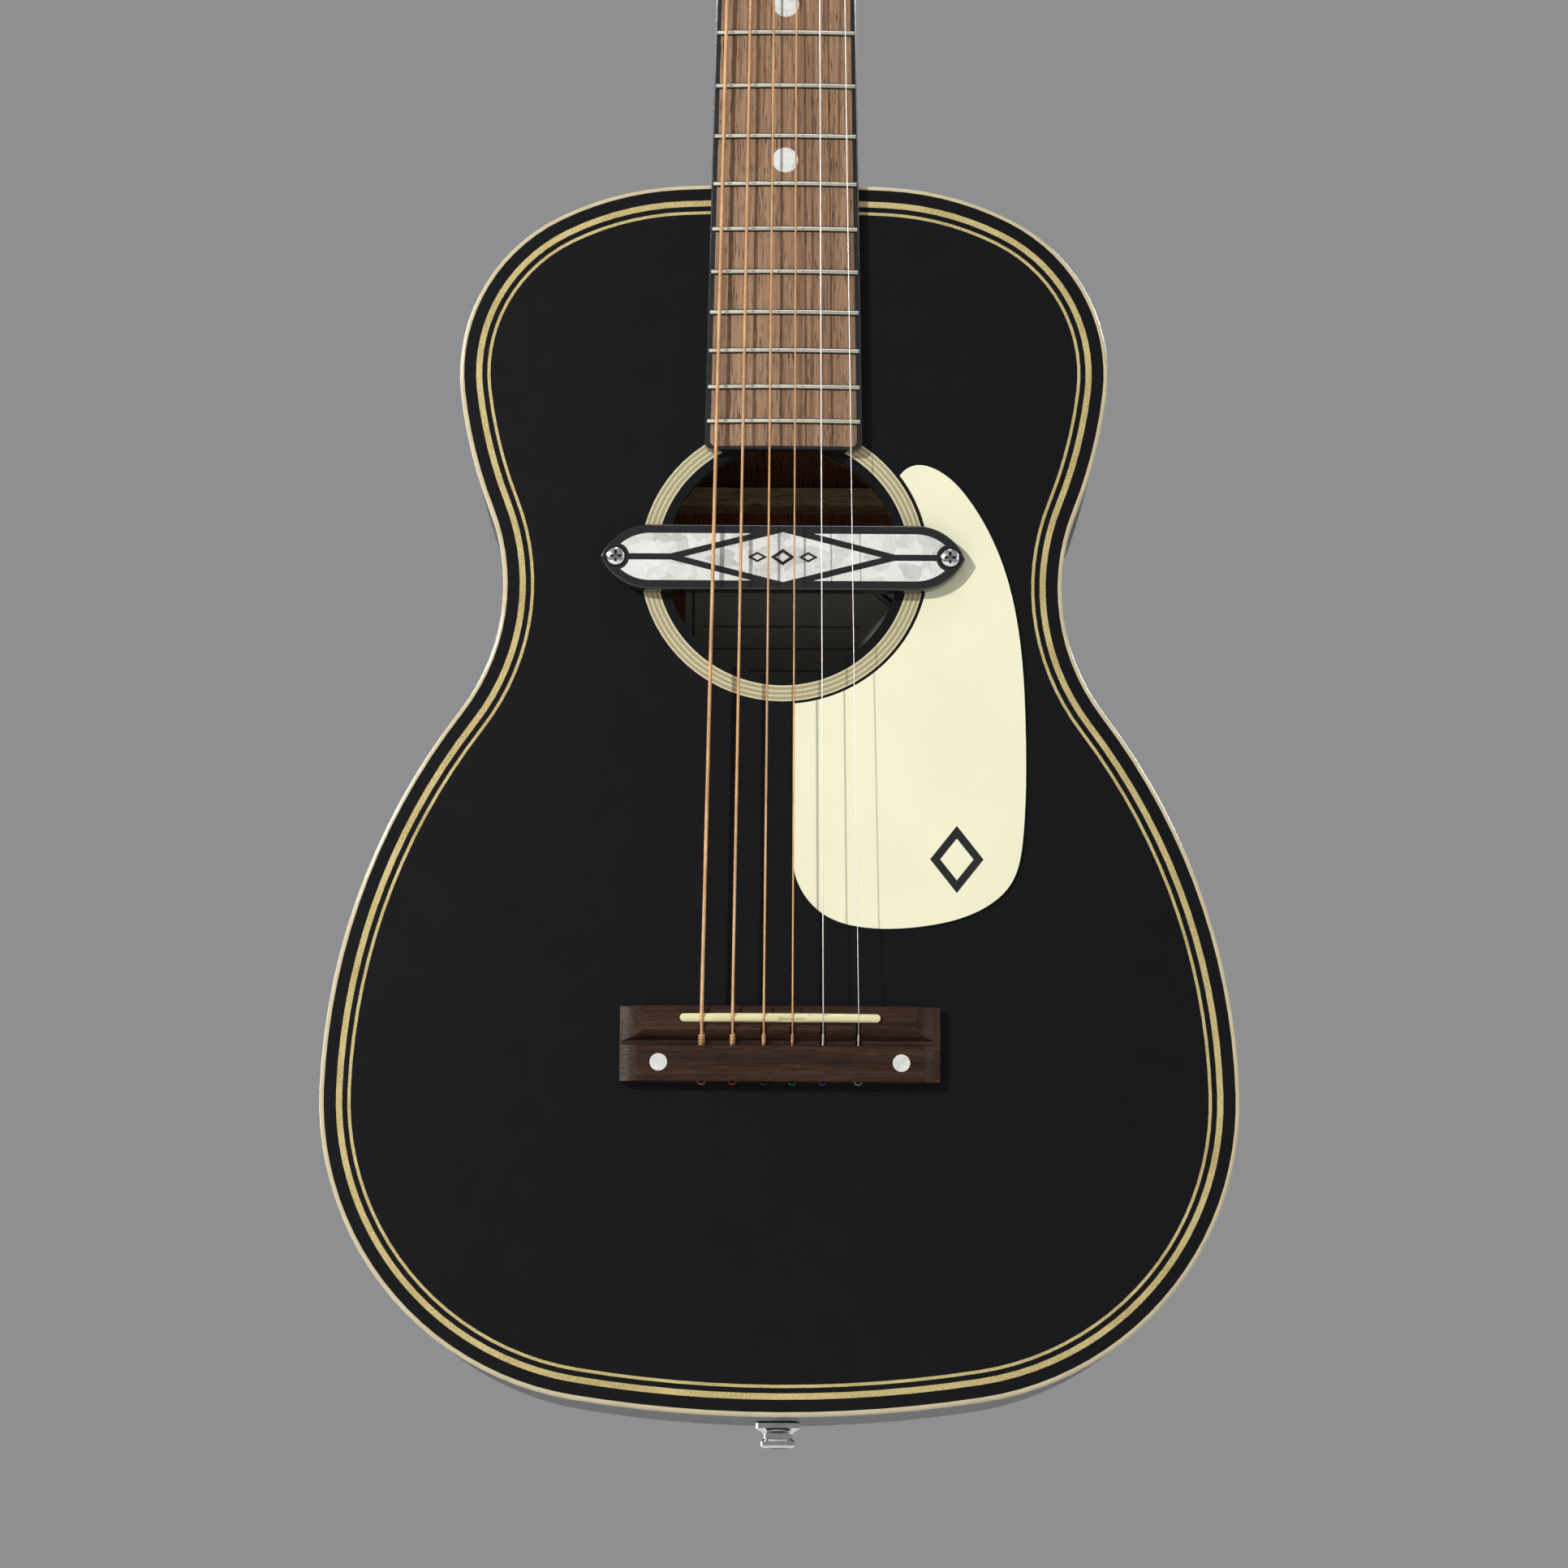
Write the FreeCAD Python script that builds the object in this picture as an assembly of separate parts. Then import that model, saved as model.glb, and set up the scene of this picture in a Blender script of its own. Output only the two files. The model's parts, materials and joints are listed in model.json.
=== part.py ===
"""Small-bodied acoustic guitar with a soundhole pickup, built up piece by piece.

Model frame, in millimetres: the guitar stands upright. +Z runs from the tail towards the head,
-Y is the way the soundboard faces, +X is the player's treble side. The origin is on the axis of
the end-pin jack, level with the lowest point of the body.

Two helper coordinates place the parts: s runs along the strings from the nut's front edge
towards the tail, and h is the height above the soundboard's outer face.
"""
import FreeCAD
import Part
import math
import os

from FreeCAD import Placement, Rotation, Vector

# ---------------------------------------------------------------- driving dimensions
SCALE_LENGTH = 610.0
FRET_COUNT = 18
NUT_WIDTH = 43.0
WIDTH_AT_12 = 53.8
BODY_TOP_S = 303.2
BODY_DEPTH_TAIL = 100.0
BODY_DEPTH_NECK = 88.0

# Half outline of the body, from the neck to the tail: radius and sweep of each tangent arc.
# A negative radius curves the other way (the waist). One more arc closes the tail.
BODY_ARCS = (
    (806.0, 2.7), (109.3, 24.6), (65.6, 69.7), (178.7, 14.6),
    (-77.1, 58.4), (238.1, 35.5), (108.2, 82.3),
)

TOP_THICK = 3.0
BACK_THICK = 3.0
SIDE_THICK = 2.2
BINDING_WIDTH = 1.6
BINDING_DEPTH = 6.0
BINDING_ROUND = 1.1
PURFLING_BANDS = ((6.0, 8.2), (10.1, 11.2))
INLAY_DEPTH = 0.8
STAVE_TURN = math.radians(18.5)
STAVE_MARGIN = 3.0
LINING_WIDTH = 5.5
LINING_HEIGHT = 12.0

HOLE_S = 445.0
HOLE_RADIUS = 42.5
ROSETTE_INNER = 46.0
ROSETTE_OUTER = 51.8

BOARD_THICK = 6.0
BOARD_END_S = 404.7
BOARD_RADIUS = 305.0
BOARD_EDGE = 2.0
BOARD_END_EDGE = 1.2
BOARD_CORNER = 3.0
EDGING_BEVEL = 0.4
FRET_HEIGHT = 1.0
FRET_WIDTH = 2.2
DOT_RADIUS = 4.7
DOT_FRETS = (3, 5, 7, 9, 12)

BRIDGE_HALF = 57.1
BRIDGE_S0 = 608.5
BRIDGE_S1 = 635.2
BRIDGE_HEIGHT = 9.0
SADDLE_S = 613.0
SADDLE_THICK = 3.0
SADDLE_HALF = 35.6
SADDLE_PROUD = 3.4

# Strings from the treble side: radius, x on the saddle, whole turns wound on the post.
STRINGS = (
    (0.152, 27.9, 5), (0.205, 15.3, 4), (0.305, 4.4, 3),
    (0.405, -5.8, 3), (0.535, -16.9, 2), (0.675, -27.9, 2),
)
NUT_SPREAD = 35.5
NUT_LENGTH = 5.0
BALL_RADIUS = 2.0
BALL_LENGTH = 3.6
BALL_PROUD = 1.4
BALL_H = 3.0
BALL_POCKET = 2.5

HEAD_ANGLE = 13.0
HEAD_THICK = 14.5
HEAD_LENGTH = 150.0
HEAD_CROWN = 5.0
HEAD_CORNER = 5.0
HEAD_FOOT = -4.0
HEAD_HALF_NUT = 29.5
HEAD_HALF_TOP = 33.5
HEAD_FLARE_A = 24.0
POST_PLACES = (45.0, 81.0, 117.0)
POST_INSET = 10.0

POST_RADIUS = 3.0
WHEEL_TEETH = 14
WHEEL_MODULE = 0.75
WHEEL_THICK = 3.0
WORM_PITCH_RADIUS = 2.6
RUN_GAP = 0.05
CORNER_SHARE = 0.45

UP = Vector(0, 0, 1)

# ---------------------------------------------------------------- small helpers


def along_arc(stop, radius, turn):
    """From a stop (x, z, heading) on the outline to the one that lies turn further on."""
    x, z, heading = stop
    after = heading - turn
    return (
        x + radius * (math.sin(heading) - math.sin(after)),
        z + radius * (math.cos(after) - math.cos(heading)),
        after,
    )


def closed_arcs():
    """Every arc of the half outline as (radius, signed sweep), and the body's length."""
    arcs = [(radius, math.radians(math.copysign(turn, radius))) for radius, turn in BODY_ARCS]
    stop = (0.0, 0.0, 0.0)
    for radius, turn in arcs:
        stop = along_arc(stop, radius, turn)
    closing = math.pi - sum(turn for radius, turn in arcs)
    arcs.append((stop[0] / math.sin(closing), closing))
    return arcs, -along_arc(stop, *arcs[-1])[1]


OUTLINE_ARCS, BODY_LENGTH = closed_arcs()
Y_TOP = -BODY_DEPTH_TAIL / 2.0


def inset_point(stop, inset, mirror):
    """Point inset inwards from a stop on the outline; mirror is -1 on the bass side."""
    x, z, heading = stop
    return Vector(
        mirror * (x + inset * math.sin(heading)), 0.0, z - inset * math.cos(heading)
    )


def outline_edges(inset):
    edges = []
    start = (0.0, BODY_LENGTH, 0.0)
    for radius, turn in OUTLINE_ARCS:
        stops = [start, along_arc(start, radius, turn / 2.0), along_arc(start, radius, turn)]
        for mirror in (1.0, -1.0):
            points = [inset_point(stop, inset, mirror) for stop in stops]
            edges.append(Part.Arc(*points).toShape())
        start = stops[-1]
    return edges


def at(x, s, h):
    """Model-frame point from the place along the strings and the height above the top."""
    return Vector(x, Y_TOP - h, BODY_LENGTH + BODY_TOP_S - s)


def outline_wire(inset):
    return Part.Wire(Part.__sortEdges__(outline_edges(inset)))


def outline_prism(inset, y0, y1):
    face = Part.Face(outline_wire(inset))
    face.translate(Vector(0, y0, 0))
    return face.extrude(Vector(0, y1 - y0, 0))


def outline_ring(outer, inner, y0, y1):
    return outline_prism(outer, y0, y1).cut(outline_prism(inner, y0 - 1, y1 + 1))


def block(x0, x1, y0, y1, z0, z1):
    return Part.makeBox(x1 - x0, y1 - y0, z1 - z0, Vector(x0, y0, z0))


def plate(edges, h0, h1):
    """Closed flat edges drawn on the soundboard plane, made solid from h0 to h1."""
    face = Part.Face(Part.Wire(Part.__sortEdges__(edges)))
    face.translate(Vector(0, -h0, 0))
    return face.extrude(Vector(0, h0 - h1, 0))


def polygon(points):
    return Part.makePolygon(list(points) + [points[0]]).Edges


def line(a, b):
    return Part.LineSegment(a, b).toShape()


def disc(x, s, radius, h0, h1):
    return Part.makeCylinder(radius, h1 - h0, at(x, s, h0), Vector(0, -1, 0))


def fuse_all(shapes):
    joined = shapes[0].multiFuse(shapes[1:]) if len(shapes) > 1 else shapes[0]
    return joined.removeSplitter()


def spin(points, base, axis, turn=360.0):
    """Solid of revolution of a closed polygon."""
    face = Part.Face(Part.makePolygon(list(points) + [points[0]]))
    return face.revolve(base, axis, turn)


def tube(points, radius):
    """Round rod along straight runs, mitred at the corners."""
    path = Part.makePolygon(points)
    ring = Part.Wire(Part.makeCircle(radius, points[0], points[1] - points[0]))
    return Part.Solid(path.makePipeShell([ring], True, True, 1))


def rounded_tube(points, radius):
    """Round rod along straight runs joined by arcs as large as the runs allow."""
    edges = []
    start = points[0]
    for before, corner, after in zip(points, points[1:], points[2:]):
        a = (before - corner).normalize()
        b = (after - corner).normalize()
        reach = CORNER_SHARE * min((before - corner).Length, (after - corner).Length)
        half_turn = (math.pi - a.getAngle(b)) / 2.0
        bend = reach / math.tan(half_turn)
        middle = corner + (a + b).normalize() * (bend / math.cos(half_turn) - bend)
        edges.append(line(start, corner + a * reach))
        edges.append(Part.Arc(corner + a * reach, middle, corner + b * reach).toShape())
        start = corner + b * reach
    edges.append(line(start, points[-1]))
    ring = Part.Wire(Part.makeCircle(radius, points[0], points[1] - points[0]))
    return Part.Solid(Part.Wire(edges).makePipeShell([ring], True, True))


def back_y(z):
    """Outer face of the flat back, which slopes towards the neck."""
    return Y_TOP + BODY_DEPTH_TAIL + (BODY_DEPTH_NECK - BODY_DEPTH_TAIL) * z / BODY_LENGTH


BACK_TILT = math.atan((BODY_DEPTH_TAIL - BODY_DEPTH_NECK) / BODY_LENGTH)


def back_slab(depth0, depth1, z0=-60.0, z1=540.0, half_width=200.0):
    """Layer between two planes parallel to the back, depth0 and depth1 in front of it."""
    lift = 1.0 / math.cos(BACK_TILT)
    corners = [
        Vector(-half_width, back_y(z0) - depth0 * lift, z0),
        Vector(-half_width, back_y(z1) - depth0 * lift, z1),
        Vector(-half_width, back_y(z1) - depth1 * lift, z1),
        Vector(-half_width, back_y(z0) - depth1 * lift, z0),
    ]
    face = Part.Face(Part.makePolygon(corners + [corners[0]]))
    return face.extrude(Vector(2 * half_width, 0, 0))


DEEP = 160.0
INSIDE_DEPTH = 200.0

# ---------------------------------------------------------------- body box


TENON_HALF = 11.0
TENON_Y = (Y_TOP + BINDING_DEPTH, 22.0)
TENON_REACH = 16.0
JACK_HOLE_RADIUS = 6.3
NECK_BLOCK = (30.0, 45.0)
TAIL_BLOCK = (32.0, 20.0)


def tenon():
    return block(
        -TENON_HALF, TENON_HALF, TENON_Y[0], TENON_Y[1],
        BODY_LENGTH - TENON_REACH, BODY_LENGTH + 2.0,
    )


def jack_hole(radius):
    return Part.makeCylinder(radius, 60.0, Vector(0, 0, -10), UP)


def bands(depth):
    rings = [
        outline_ring(outer, inner, Y_TOP, Y_TOP + depth) for outer, inner in PURFLING_BANDS
    ]
    return Part.makeCompound(rings)


def rosette_ring():
    ring = disc(0, HOLE_S, ROSETTE_OUTER, -INLAY_DEPTH, 0)
    return ring.cut(disc(0, HOLE_S, ROSETTE_INNER, -INLAY_DEPTH - 1, 1))


def soundboard():
    board = outline_prism(BINDING_WIDTH, Y_TOP, Y_TOP + TOP_THICK)
    board = board.cut(disc(0, HOLE_S, HOLE_RADIUS, -TOP_THICK - 1, 1))
    return board.cut(bands(INLAY_DEPTH)).cut(rosette_ring())


def back_plate():
    return outline_prism(BINDING_WIDTH, 0, DEEP).common(back_slab(0, BACK_THICK))


OUTLINE_SHELL = outline_wire(0.0)


def round_outer_edge(ring, y_face):
    """Round the outer edges of a binding ring on one of its flat faces."""
    picked = []
    for edge in ring.Edges:
        middle = edge.valueAt((edge.FirstParameter + edge.LastParameter) / 2.0)
        flat = abs(middle.y - y_face(middle.z)) < 0.02
        wire_gap = OUTLINE_SHELL.distToShape(Part.Vertex(middle.x, 0, middle.z))[0]
        if flat and wire_gap < 0.02:
            picked.append(edge)
    return ring.makeFillet(BINDING_ROUND, picked)


def top_binding():
    ring = outline_ring(0, BINDING_WIDTH, Y_TOP, Y_TOP + BINDING_DEPTH)
    return round_outer_edge(ring, lambda z: Y_TOP)


def back_binding():
    ring = outline_ring(0, BINDING_WIDTH, 0, DEEP).common(back_slab(0, BINDING_DEPTH))
    return round_outer_edge(ring, back_y)


def rim():
    """Both sides in one bent shell, rebated for the bindings, open at tenon and jack."""
    shell = outline_ring(0, SIDE_THICK, Y_TOP + TOP_THICK, DEEP)
    shell = shell.common(back_slab(BACK_THICK, INSIDE_DEPTH))
    shell = shell.cut(outline_ring(0, BINDING_WIDTH, Y_TOP, Y_TOP + BINDING_DEPTH))
    shell = shell.cut(
        outline_ring(0, BINDING_WIDTH, 0, DEEP).common(back_slab(0, BINDING_DEPTH))
    )
    return shell.cut(tenon()).cut(jack_hole(JACK_HOLE_RADIUS))


def side_stops():
    """Places along the half outline that part a side into staves of a small turn."""
    stop = (0.0, BODY_LENGTH, 0.0)
    stops = [stop]
    for radius, turn in OUTLINE_ARCS:
        count = math.ceil(abs(turn) / STAVE_TURN)
        for _ in range(count):
            stop = along_arc(stop, radius, turn / count)
            stops.append(stop)
    return stops


def side(mirror):
    """One bent side as butted staves; mirror is -1 on the bass side."""
    shell = rim()
    stops = side_stops()
    staves = []
    for near, far in zip(stops, stops[1:]):
        corners = [
            inset_point(near, -STAVE_MARGIN, mirror), inset_point(far, -STAVE_MARGIN, mirror),
            inset_point(far, SIDE_THICK + STAVE_MARGIN, mirror),
            inset_point(near, SIDE_THICK + STAVE_MARGIN, mirror),
        ]
        wedge = Part.Face(Part.makePolygon(corners + [corners[0]]))
        wedge.translate(Vector(0, -DEEP, 0))
        staves.extend(shell.common(wedge.extrude(Vector(0, 2 * DEEP, 0))).Solids)
    return Part.makeCompound(staves)


def neck_block():
    half, length = NECK_BLOCK
    wood = outline_prism(SIDE_THICK, Y_TOP + TOP_THICK, DEEP)
    wood = wood.common(back_slab(BACK_THICK, INSIDE_DEPTH))
    wood = wood.common(block(-half, half, -100, 100, BODY_LENGTH - length, BODY_LENGTH + 5))
    return wood.cut(tenon())


def tail_block():
    half, length = TAIL_BLOCK
    wood = outline_prism(SIDE_THICK, Y_TOP + TOP_THICK, DEEP)
    wood = wood.common(back_slab(BACK_THICK, INSIDE_DEPTH))
    wood = wood.common(block(-half, half, -100, 100, -5, length))
    return wood.cut(jack_hole(JACK_HOLE_RADIUS))


def linings():
    inner = SIDE_THICK + LINING_WIDTH
    top = outline_ring(
        SIDE_THICK, inner, Y_TOP + TOP_THICK, Y_TOP + TOP_THICK + LINING_HEIGHT
    )
    back = outline_ring(SIDE_THICK, inner, 0, DEEP)
    back = back.common(back_slab(BACK_THICK, BACK_THICK + LINING_HEIGHT))
    strips = []
    neck_half, neck_length = NECK_BLOCK
    tail_half, tail_length = TAIL_BLOCK
    gap = 0.2
    for ring in (top, back):
        ring = ring.cut(
            block(-neck_half - gap, neck_half + gap, -100, 100, BODY_LENGTH - 60, 520)
        )
        ring = ring.cut(block(-tail_half - gap, tail_half + gap, -100, 100, -5, 60))
        strips.extend(ring.Solids)
    return Part.makeCompound(strips)


def inside_clear():
    """Room inside the body, clear of the linings."""
    return outline_prism(SIDE_THICK + LINING_WIDTH + 0.3, -80, DEEP)


def bar_between(p, q, width, height):
    """Brace under the soundboard from plan point p to q."""
    a = Vector(p[0], 0, p[1])
    b = Vector(q[0], 0, q[1])
    along = (b - a).normalize()
    across = along.cross(Vector(0, 1, 0)) * (width / 2.0)
    y_under = Y_TOP + TOP_THICK
    corners = [a + across, b + across, b - across, a - across]
    corners = [Vector(c.x, y_under, c.z) for c in corners]
    face = Part.Face(Part.makePolygon(corners + [corners[0]]))
    return face.extrude(Vector(0, height, 0))


CROSS_Z = 230.0
CROSS_DOWN = 126.0
CROSS_UP = 114.0
CROSS_SECTION = (7.0, 12.0)
UPPER_BAR = (110.0, 372.0)
UPPER_SECTION = (12.0, 12.0)
TONE_BAR = ((-62.0, 60.0), (34.0, 98.0))
TONE_SECTION = (6.0, 8.0)
BRIDGE_PLATE = (68.0, 16.0, 2.5)


def top_braces():
    """Crossed main braces clear of the soundhole, a tone bar, the upper bar, bridge plate."""
    crossed = [
        bar_between(
            (-side * CROSS_DOWN, CROSS_Z - CROSS_DOWN), (side * CROSS_UP, CROSS_Z + CROSS_UP),
            *CROSS_SECTION,
        )
        for side in (1, -1)
    ]
    cross = fuse_all(crossed).common(inside_clear())
    upper_half, upper_z = UPPER_BAR
    upper = bar_between((-upper_half, upper_z), (upper_half, upper_z), *UPPER_SECTION)
    upper = upper.common(inside_clear())
    tone = bar_between(*TONE_BAR, *TONE_SECTION)
    centre = at(0, (BRIDGE_S0 + BRIDGE_S1) / 2.0, 0).z
    y_under = Y_TOP + TOP_THICK
    half, reach, thick = BRIDGE_PLATE
    under = block(-half, half, y_under, y_under + thick, centre - reach, centre + reach)
    under = under.cut(cross)
    return Part.makeCompound([cross, upper, tone] + under.Solids)


BACK_BRACE_S = (404.0, 520.0, 612.0, 700.0)
BACK_BRACE_WIDTH = 7.0
BACK_BRACE_HEIGHT = 13.0
LABEL_TOP_S = 438.5
LABEL_SPAN = (-37.0, 46.0)
LABEL_LENGTH = 62.0
LABEL_THICK = 0.3


def back_braces():
    """Ladder braces glued across the inside of the back."""
    bars = []
    for s in BACK_BRACE_S:
        z = at(0, s, 0).z
        z0, z1 = z - BACK_BRACE_WIDTH / 2.0, z + BACK_BRACE_WIDTH / 2.0
        bar = back_slab(BACK_THICK, BACK_THICK + BACK_BRACE_HEIGHT, z0, z1)
        bars.append(bar.common(inside_clear()))
    return Part.makeCompound(bars)


def label():
    """Paper label on the inside of the back, below the soundhole."""
    z_top = at(0, LABEL_TOP_S, 0).z
    strip = back_slab(BACK_THICK, BACK_THICK + LABEL_THICK, z_top - LABEL_LENGTH, z_top)
    return strip.common(block(*LABEL_SPAN, -DEEP, DEEP, 0, BODY_LENGTH))


def top_purfling():
    return bands(INLAY_DEPTH)


# ---------------------------------------------------------------- pickguard


def pickguard():
    """Guard whose inner edge follows the rosette; plan points are (x, s - hole centre)."""
    inner_radius = 53.0
    outer = (
        (4.3, 108.0), (7.2, 120.5), (15.5, 129.6), (30.0, 134.2), (51.5, 133.6),
        (71.0, 128.0), (82.4, 118.4), (87.0, 101.0), (88.0, 65.0), (85.8, 28.0),
        (79.8, 1.2), (67.6, -22.8), (57.8, -32.8), (49.0, -35.7), (42.4, -31.8),
    )
    points = [at(x, HOLE_S + ds, 0) for x, ds in outer]
    curve = Part.BSplineCurve()
    curve.interpolate(points)
    x0 = outer[0][0]
    low = at(x0, HOLE_S + math.sqrt(inner_radius ** 2 - x0 ** 2), 0)
    turn = math.radians(20.0)
    mid = at(inner_radius * math.cos(turn), HOLE_S + inner_radius * math.sin(turn), 0)
    edges = [
        curve.toShape(), line(low, points[0]), Part.Arc(points[-1], mid, low).toShape(),
    ]
    return plate(edges, 0.0, 1.2)


# ---------------------------------------------------------------- fretboard, neck and head


def board_half(s):
    return (NUT_WIDTH + (WIDTH_AT_12 - NUT_WIDTH) * s / (SCALE_LENGTH / 2.0)) / 2.0


def fret_s(number):
    return SCALE_LENGTH * (1.0 - 2.0 ** (-number / 12.0))


BOARD_AXIS_H = BOARD_THICK - BOARD_RADIUS


def camber_drop(x):
    return BOARD_RADIUS - math.sqrt(BOARD_RADIUS ** 2 - x ** 2)


def cambered():
    base = at(0, BOARD_END_S + 10, BOARD_AXIS_H)
    return Part.makeCylinder(BOARD_RADIUS, BOARD_END_S + 40, base, UP)


def board_plan(inset, end_s, corner, h0, h1):
    """Tapered plank from the nut to end_s with two rounded corners."""
    far = board_half(end_s) - inset
    near = board_half(0) - inset
    k = corner * (1.0 - math.sqrt(0.5))
    edges = [
        line(at(-far, end_s - corner, 0), at(-near, 0, 0)),
        line(at(-near, 0, 0), at(near, 0, 0)),
        line(at(near, 0, 0), at(far, end_s - corner, 0)),
        Part.Arc(
            at(far, end_s - corner, 0), at(far - k, end_s - k, 0), at(far - corner, end_s, 0)
        ).toShape(),
        line(at(far - corner, end_s, 0), at(corner - far, end_s, 0)),
        Part.Arc(
            at(corner - far, end_s, 0), at(k - far, end_s - k, 0), at(-far, end_s - corner, 0)
        ).toShape(),
    ]
    return plate(edges, h0, h1)


FRET_SLOT = (0.6, 1.6)


def fret(number, widen=0.0):
    """Crowned fret wire, bent round the camber, with its tang."""
    s = fret_s(number)
    half = FRET_WIDTH / 2.0
    crown = [
        Part.Arc(
            at(0, s - half, BOARD_THICK), at(0, s, BOARD_THICK + FRET_HEIGHT),
            at(0, s + half, BOARD_THICK),
        ).toShape(),
        line(at(0, s + half, BOARD_THICK), at(0, s - half, BOARD_THICK)),
    ]
    tang_half = FRET_SLOT[0] / 2.0
    tang = polygon([
        at(0, s - tang_half, BOARD_THICK - FRET_SLOT[1]), at(0, s - tang_half, BOARD_THICK),
        at(0, s + tang_half, BOARD_THICK), at(0, s + tang_half, BOARD_THICK - FRET_SLOT[1]),
    ])
    turn = math.degrees(math.asin((board_half(s) + 2.0) / BOARD_RADIUS))
    base = at(0, 0, BOARD_AXIS_H)
    solids = []
    for edges, inset in ((crown, 0.7), (tang, BOARD_EDGE)):
        face = Part.Face(Part.Wire(Part.__sortEdges__(edges)))
        face.rotate(base, UP, -turn)
        swept = face.revolve(base, UP, 2 * turn)
        reach = board_half(s) - inset
        z = at(0, s, 0).z
        limits = block(-reach, reach, Y_TOP - 20, Y_TOP, z - 5, z + 5)
        solids.append(swept.common(limits))
    return fuse_all(solids)


def dot(number):
    middle = (fret_s(number - 1) + fret_s(number)) / 2.0
    return disc(0, middle, DOT_RADIUS, BOARD_THICK - 1.5, BOARD_THICK + 1).common(cambered())


def fretboard():
    wood = board_plan(BOARD_EDGE, BOARD_END_S - BOARD_END_EDGE, 2.0, 0, BOARD_THICK + 1)
    wood = wood.common(cambered())
    for number in range(1, FRET_COUNT + 1):
        wood = wood.cut(fret(number))
    for number in DOT_FRETS:
        wood = wood.cut(dot(number))
    return wood


def edging_bevel(side):
    """Wedge that bevels the edging's outer top edge along one side."""
    wires = []
    for s in (-1.0, BOARD_END_S + 1.0):
        half = board_half(s)
        top = BOARD_THICK - camber_drop(half)
        corners = (
            (half - EDGING_BEVEL - 1, top + 1), (half + 1, top - EDGING_BEVEL - 1),
            (half + 1, top + 1),
        )
        points = [at(side * x, s, h) for x, h in corners]
        wires.append(Part.makePolygon(points + [points[0]]))
    return Part.makeLoft(wires, True, True)


def fretboard_edging():
    """Strip round the fretboard, bevelled along both sides."""
    strip = board_plan(0, BOARD_END_S, BOARD_CORNER, 0, BOARD_THICK + 1).common(cambered())
    strip = strip.cut(edging_bevel(1)).cut(edging_bevel(-1))
    inner = board_plan(
        BOARD_EDGE, BOARD_END_S - BOARD_END_EDGE, 2.0, -1, BOARD_THICK + 2
    )
    inner = inner.fuse(block(-19, 19, Y_TOP - 20, Y_TOP + 5, at(0, 1, 0).z, at(0, -5, 0).z))
    return strip.cut(inner)


def frets():
    return Part.makeCompound([fret(number) for number in range(1, FRET_COUNT + 1)])


HEAD_PIVOT = at(0, -NUT_LENGTH, 1.5)
HEAD = Placement(HEAD_PIVOT, Rotation(Vector(1, 0, 0), -HEAD_ANGLE))


def head_place(x, a, b):
    """Model-frame point on the head: a along its face from the nut, b into its thickness."""
    return HEAD.multVec(Vector(x, b, a))


def head_solid(shape):
    moved = shape.copy()
    moved.Placement = HEAD.multiply(moved.Placement)
    return moved


def head_half(a):
    share = (a - HEAD_FLARE_A) / (HEAD_LENGTH - HEAD_FLARE_A)
    return HEAD_HALF_NUT + (HEAD_HALF_TOP - HEAD_HALF_NUT) * share


def head_blank():
    """Paddle head in its own frame: flared shoulders, straight sides, shallow crown."""
    near = NUT_WIDTH / 2.0
    top = head_half(HEAD_LENGTH)
    over_x = top - HEAD_CORNER
    diagonal = HEAD_CORNER * (1.0 - math.sqrt(0.5))
    edges = []
    for sign in (1, -1):
        start = Vector(sign * near, 0, HEAD_FOOT)
        foot = Vector(sign * near, 0, 2.0)
        flare = Vector(sign * (near + 2.6), 0, 13.0)
        wing = Vector(sign * HEAD_HALF_NUT, 0, HEAD_FLARE_A)
        high = Vector(sign * top, 0, HEAD_LENGTH - HEAD_CORNER)
        bend = Vector(sign * (top - diagonal), 0, HEAD_LENGTH - diagonal)
        over = Vector(sign * over_x, 0, HEAD_LENGTH)
        edges += [line(start, foot), Part.Arc(foot, flare, wing).toShape()]
        edges += [line(wing, high), Part.Arc(high, bend, over).toShape()]
    edges.append(line(Vector(-near, 0, HEAD_FOOT), Vector(near, 0, HEAD_FOOT)))
    crown = Vector(0, 0, HEAD_LENGTH + HEAD_CROWN)
    edges.append(
        Part.Arc(Vector(over_x, 0, HEAD_LENGTH), crown, Vector(-over_x, 0, HEAD_LENGTH)).toShape()
    )
    face = Part.Face(Part.Wire(Part.__sortEdges__(edges)))
    return face.extrude(Vector(0, HEAD_THICK, 0))


SECTION_STEPS = 12


def neck_section(s, depth, half):
    """Half-oval section of the neck or heel, closed by the flat under the fretboard."""
    z = at(0, s, 0).z
    angles = [math.pi * i / SECTION_STEPS for i in range(SECTION_STEPS + 1)]
    points = [
        Vector(half * math.cos(t), Y_TOP + depth * math.sin(t), z) for t in angles
    ]
    curve = Part.BSplineCurve()
    down = Vector(0, 1, 0)
    curve.interpolate(Points=points, InitialTangent=down, FinalTangent=-down)
    return Part.Wire([curve.toShape(), line(points[-1], points[0])])


NECK_DEPTH_NUT = 14.5
NECK_DEPTH_HEEL = 17.0
HEEL_START_S = 246.0
HEEL_END_S = 308.0
HEEL_REACH = 92.0
HEEL_POWER = 3.2
HEEL_NARROWING = 3.0
HEEL_STEPS = 10


def neck_depth(s):
    depth = NECK_DEPTH_NUT + (NECK_DEPTH_HEEL - NECK_DEPTH_NUT) * max(s, 0.0) / HEEL_START_S
    if s <= HEEL_START_S:
        return depth
    share = (s - HEEL_START_S) / (HEEL_END_S - HEEL_START_S)
    return depth + HEEL_REACH * share ** HEEL_POWER


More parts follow.
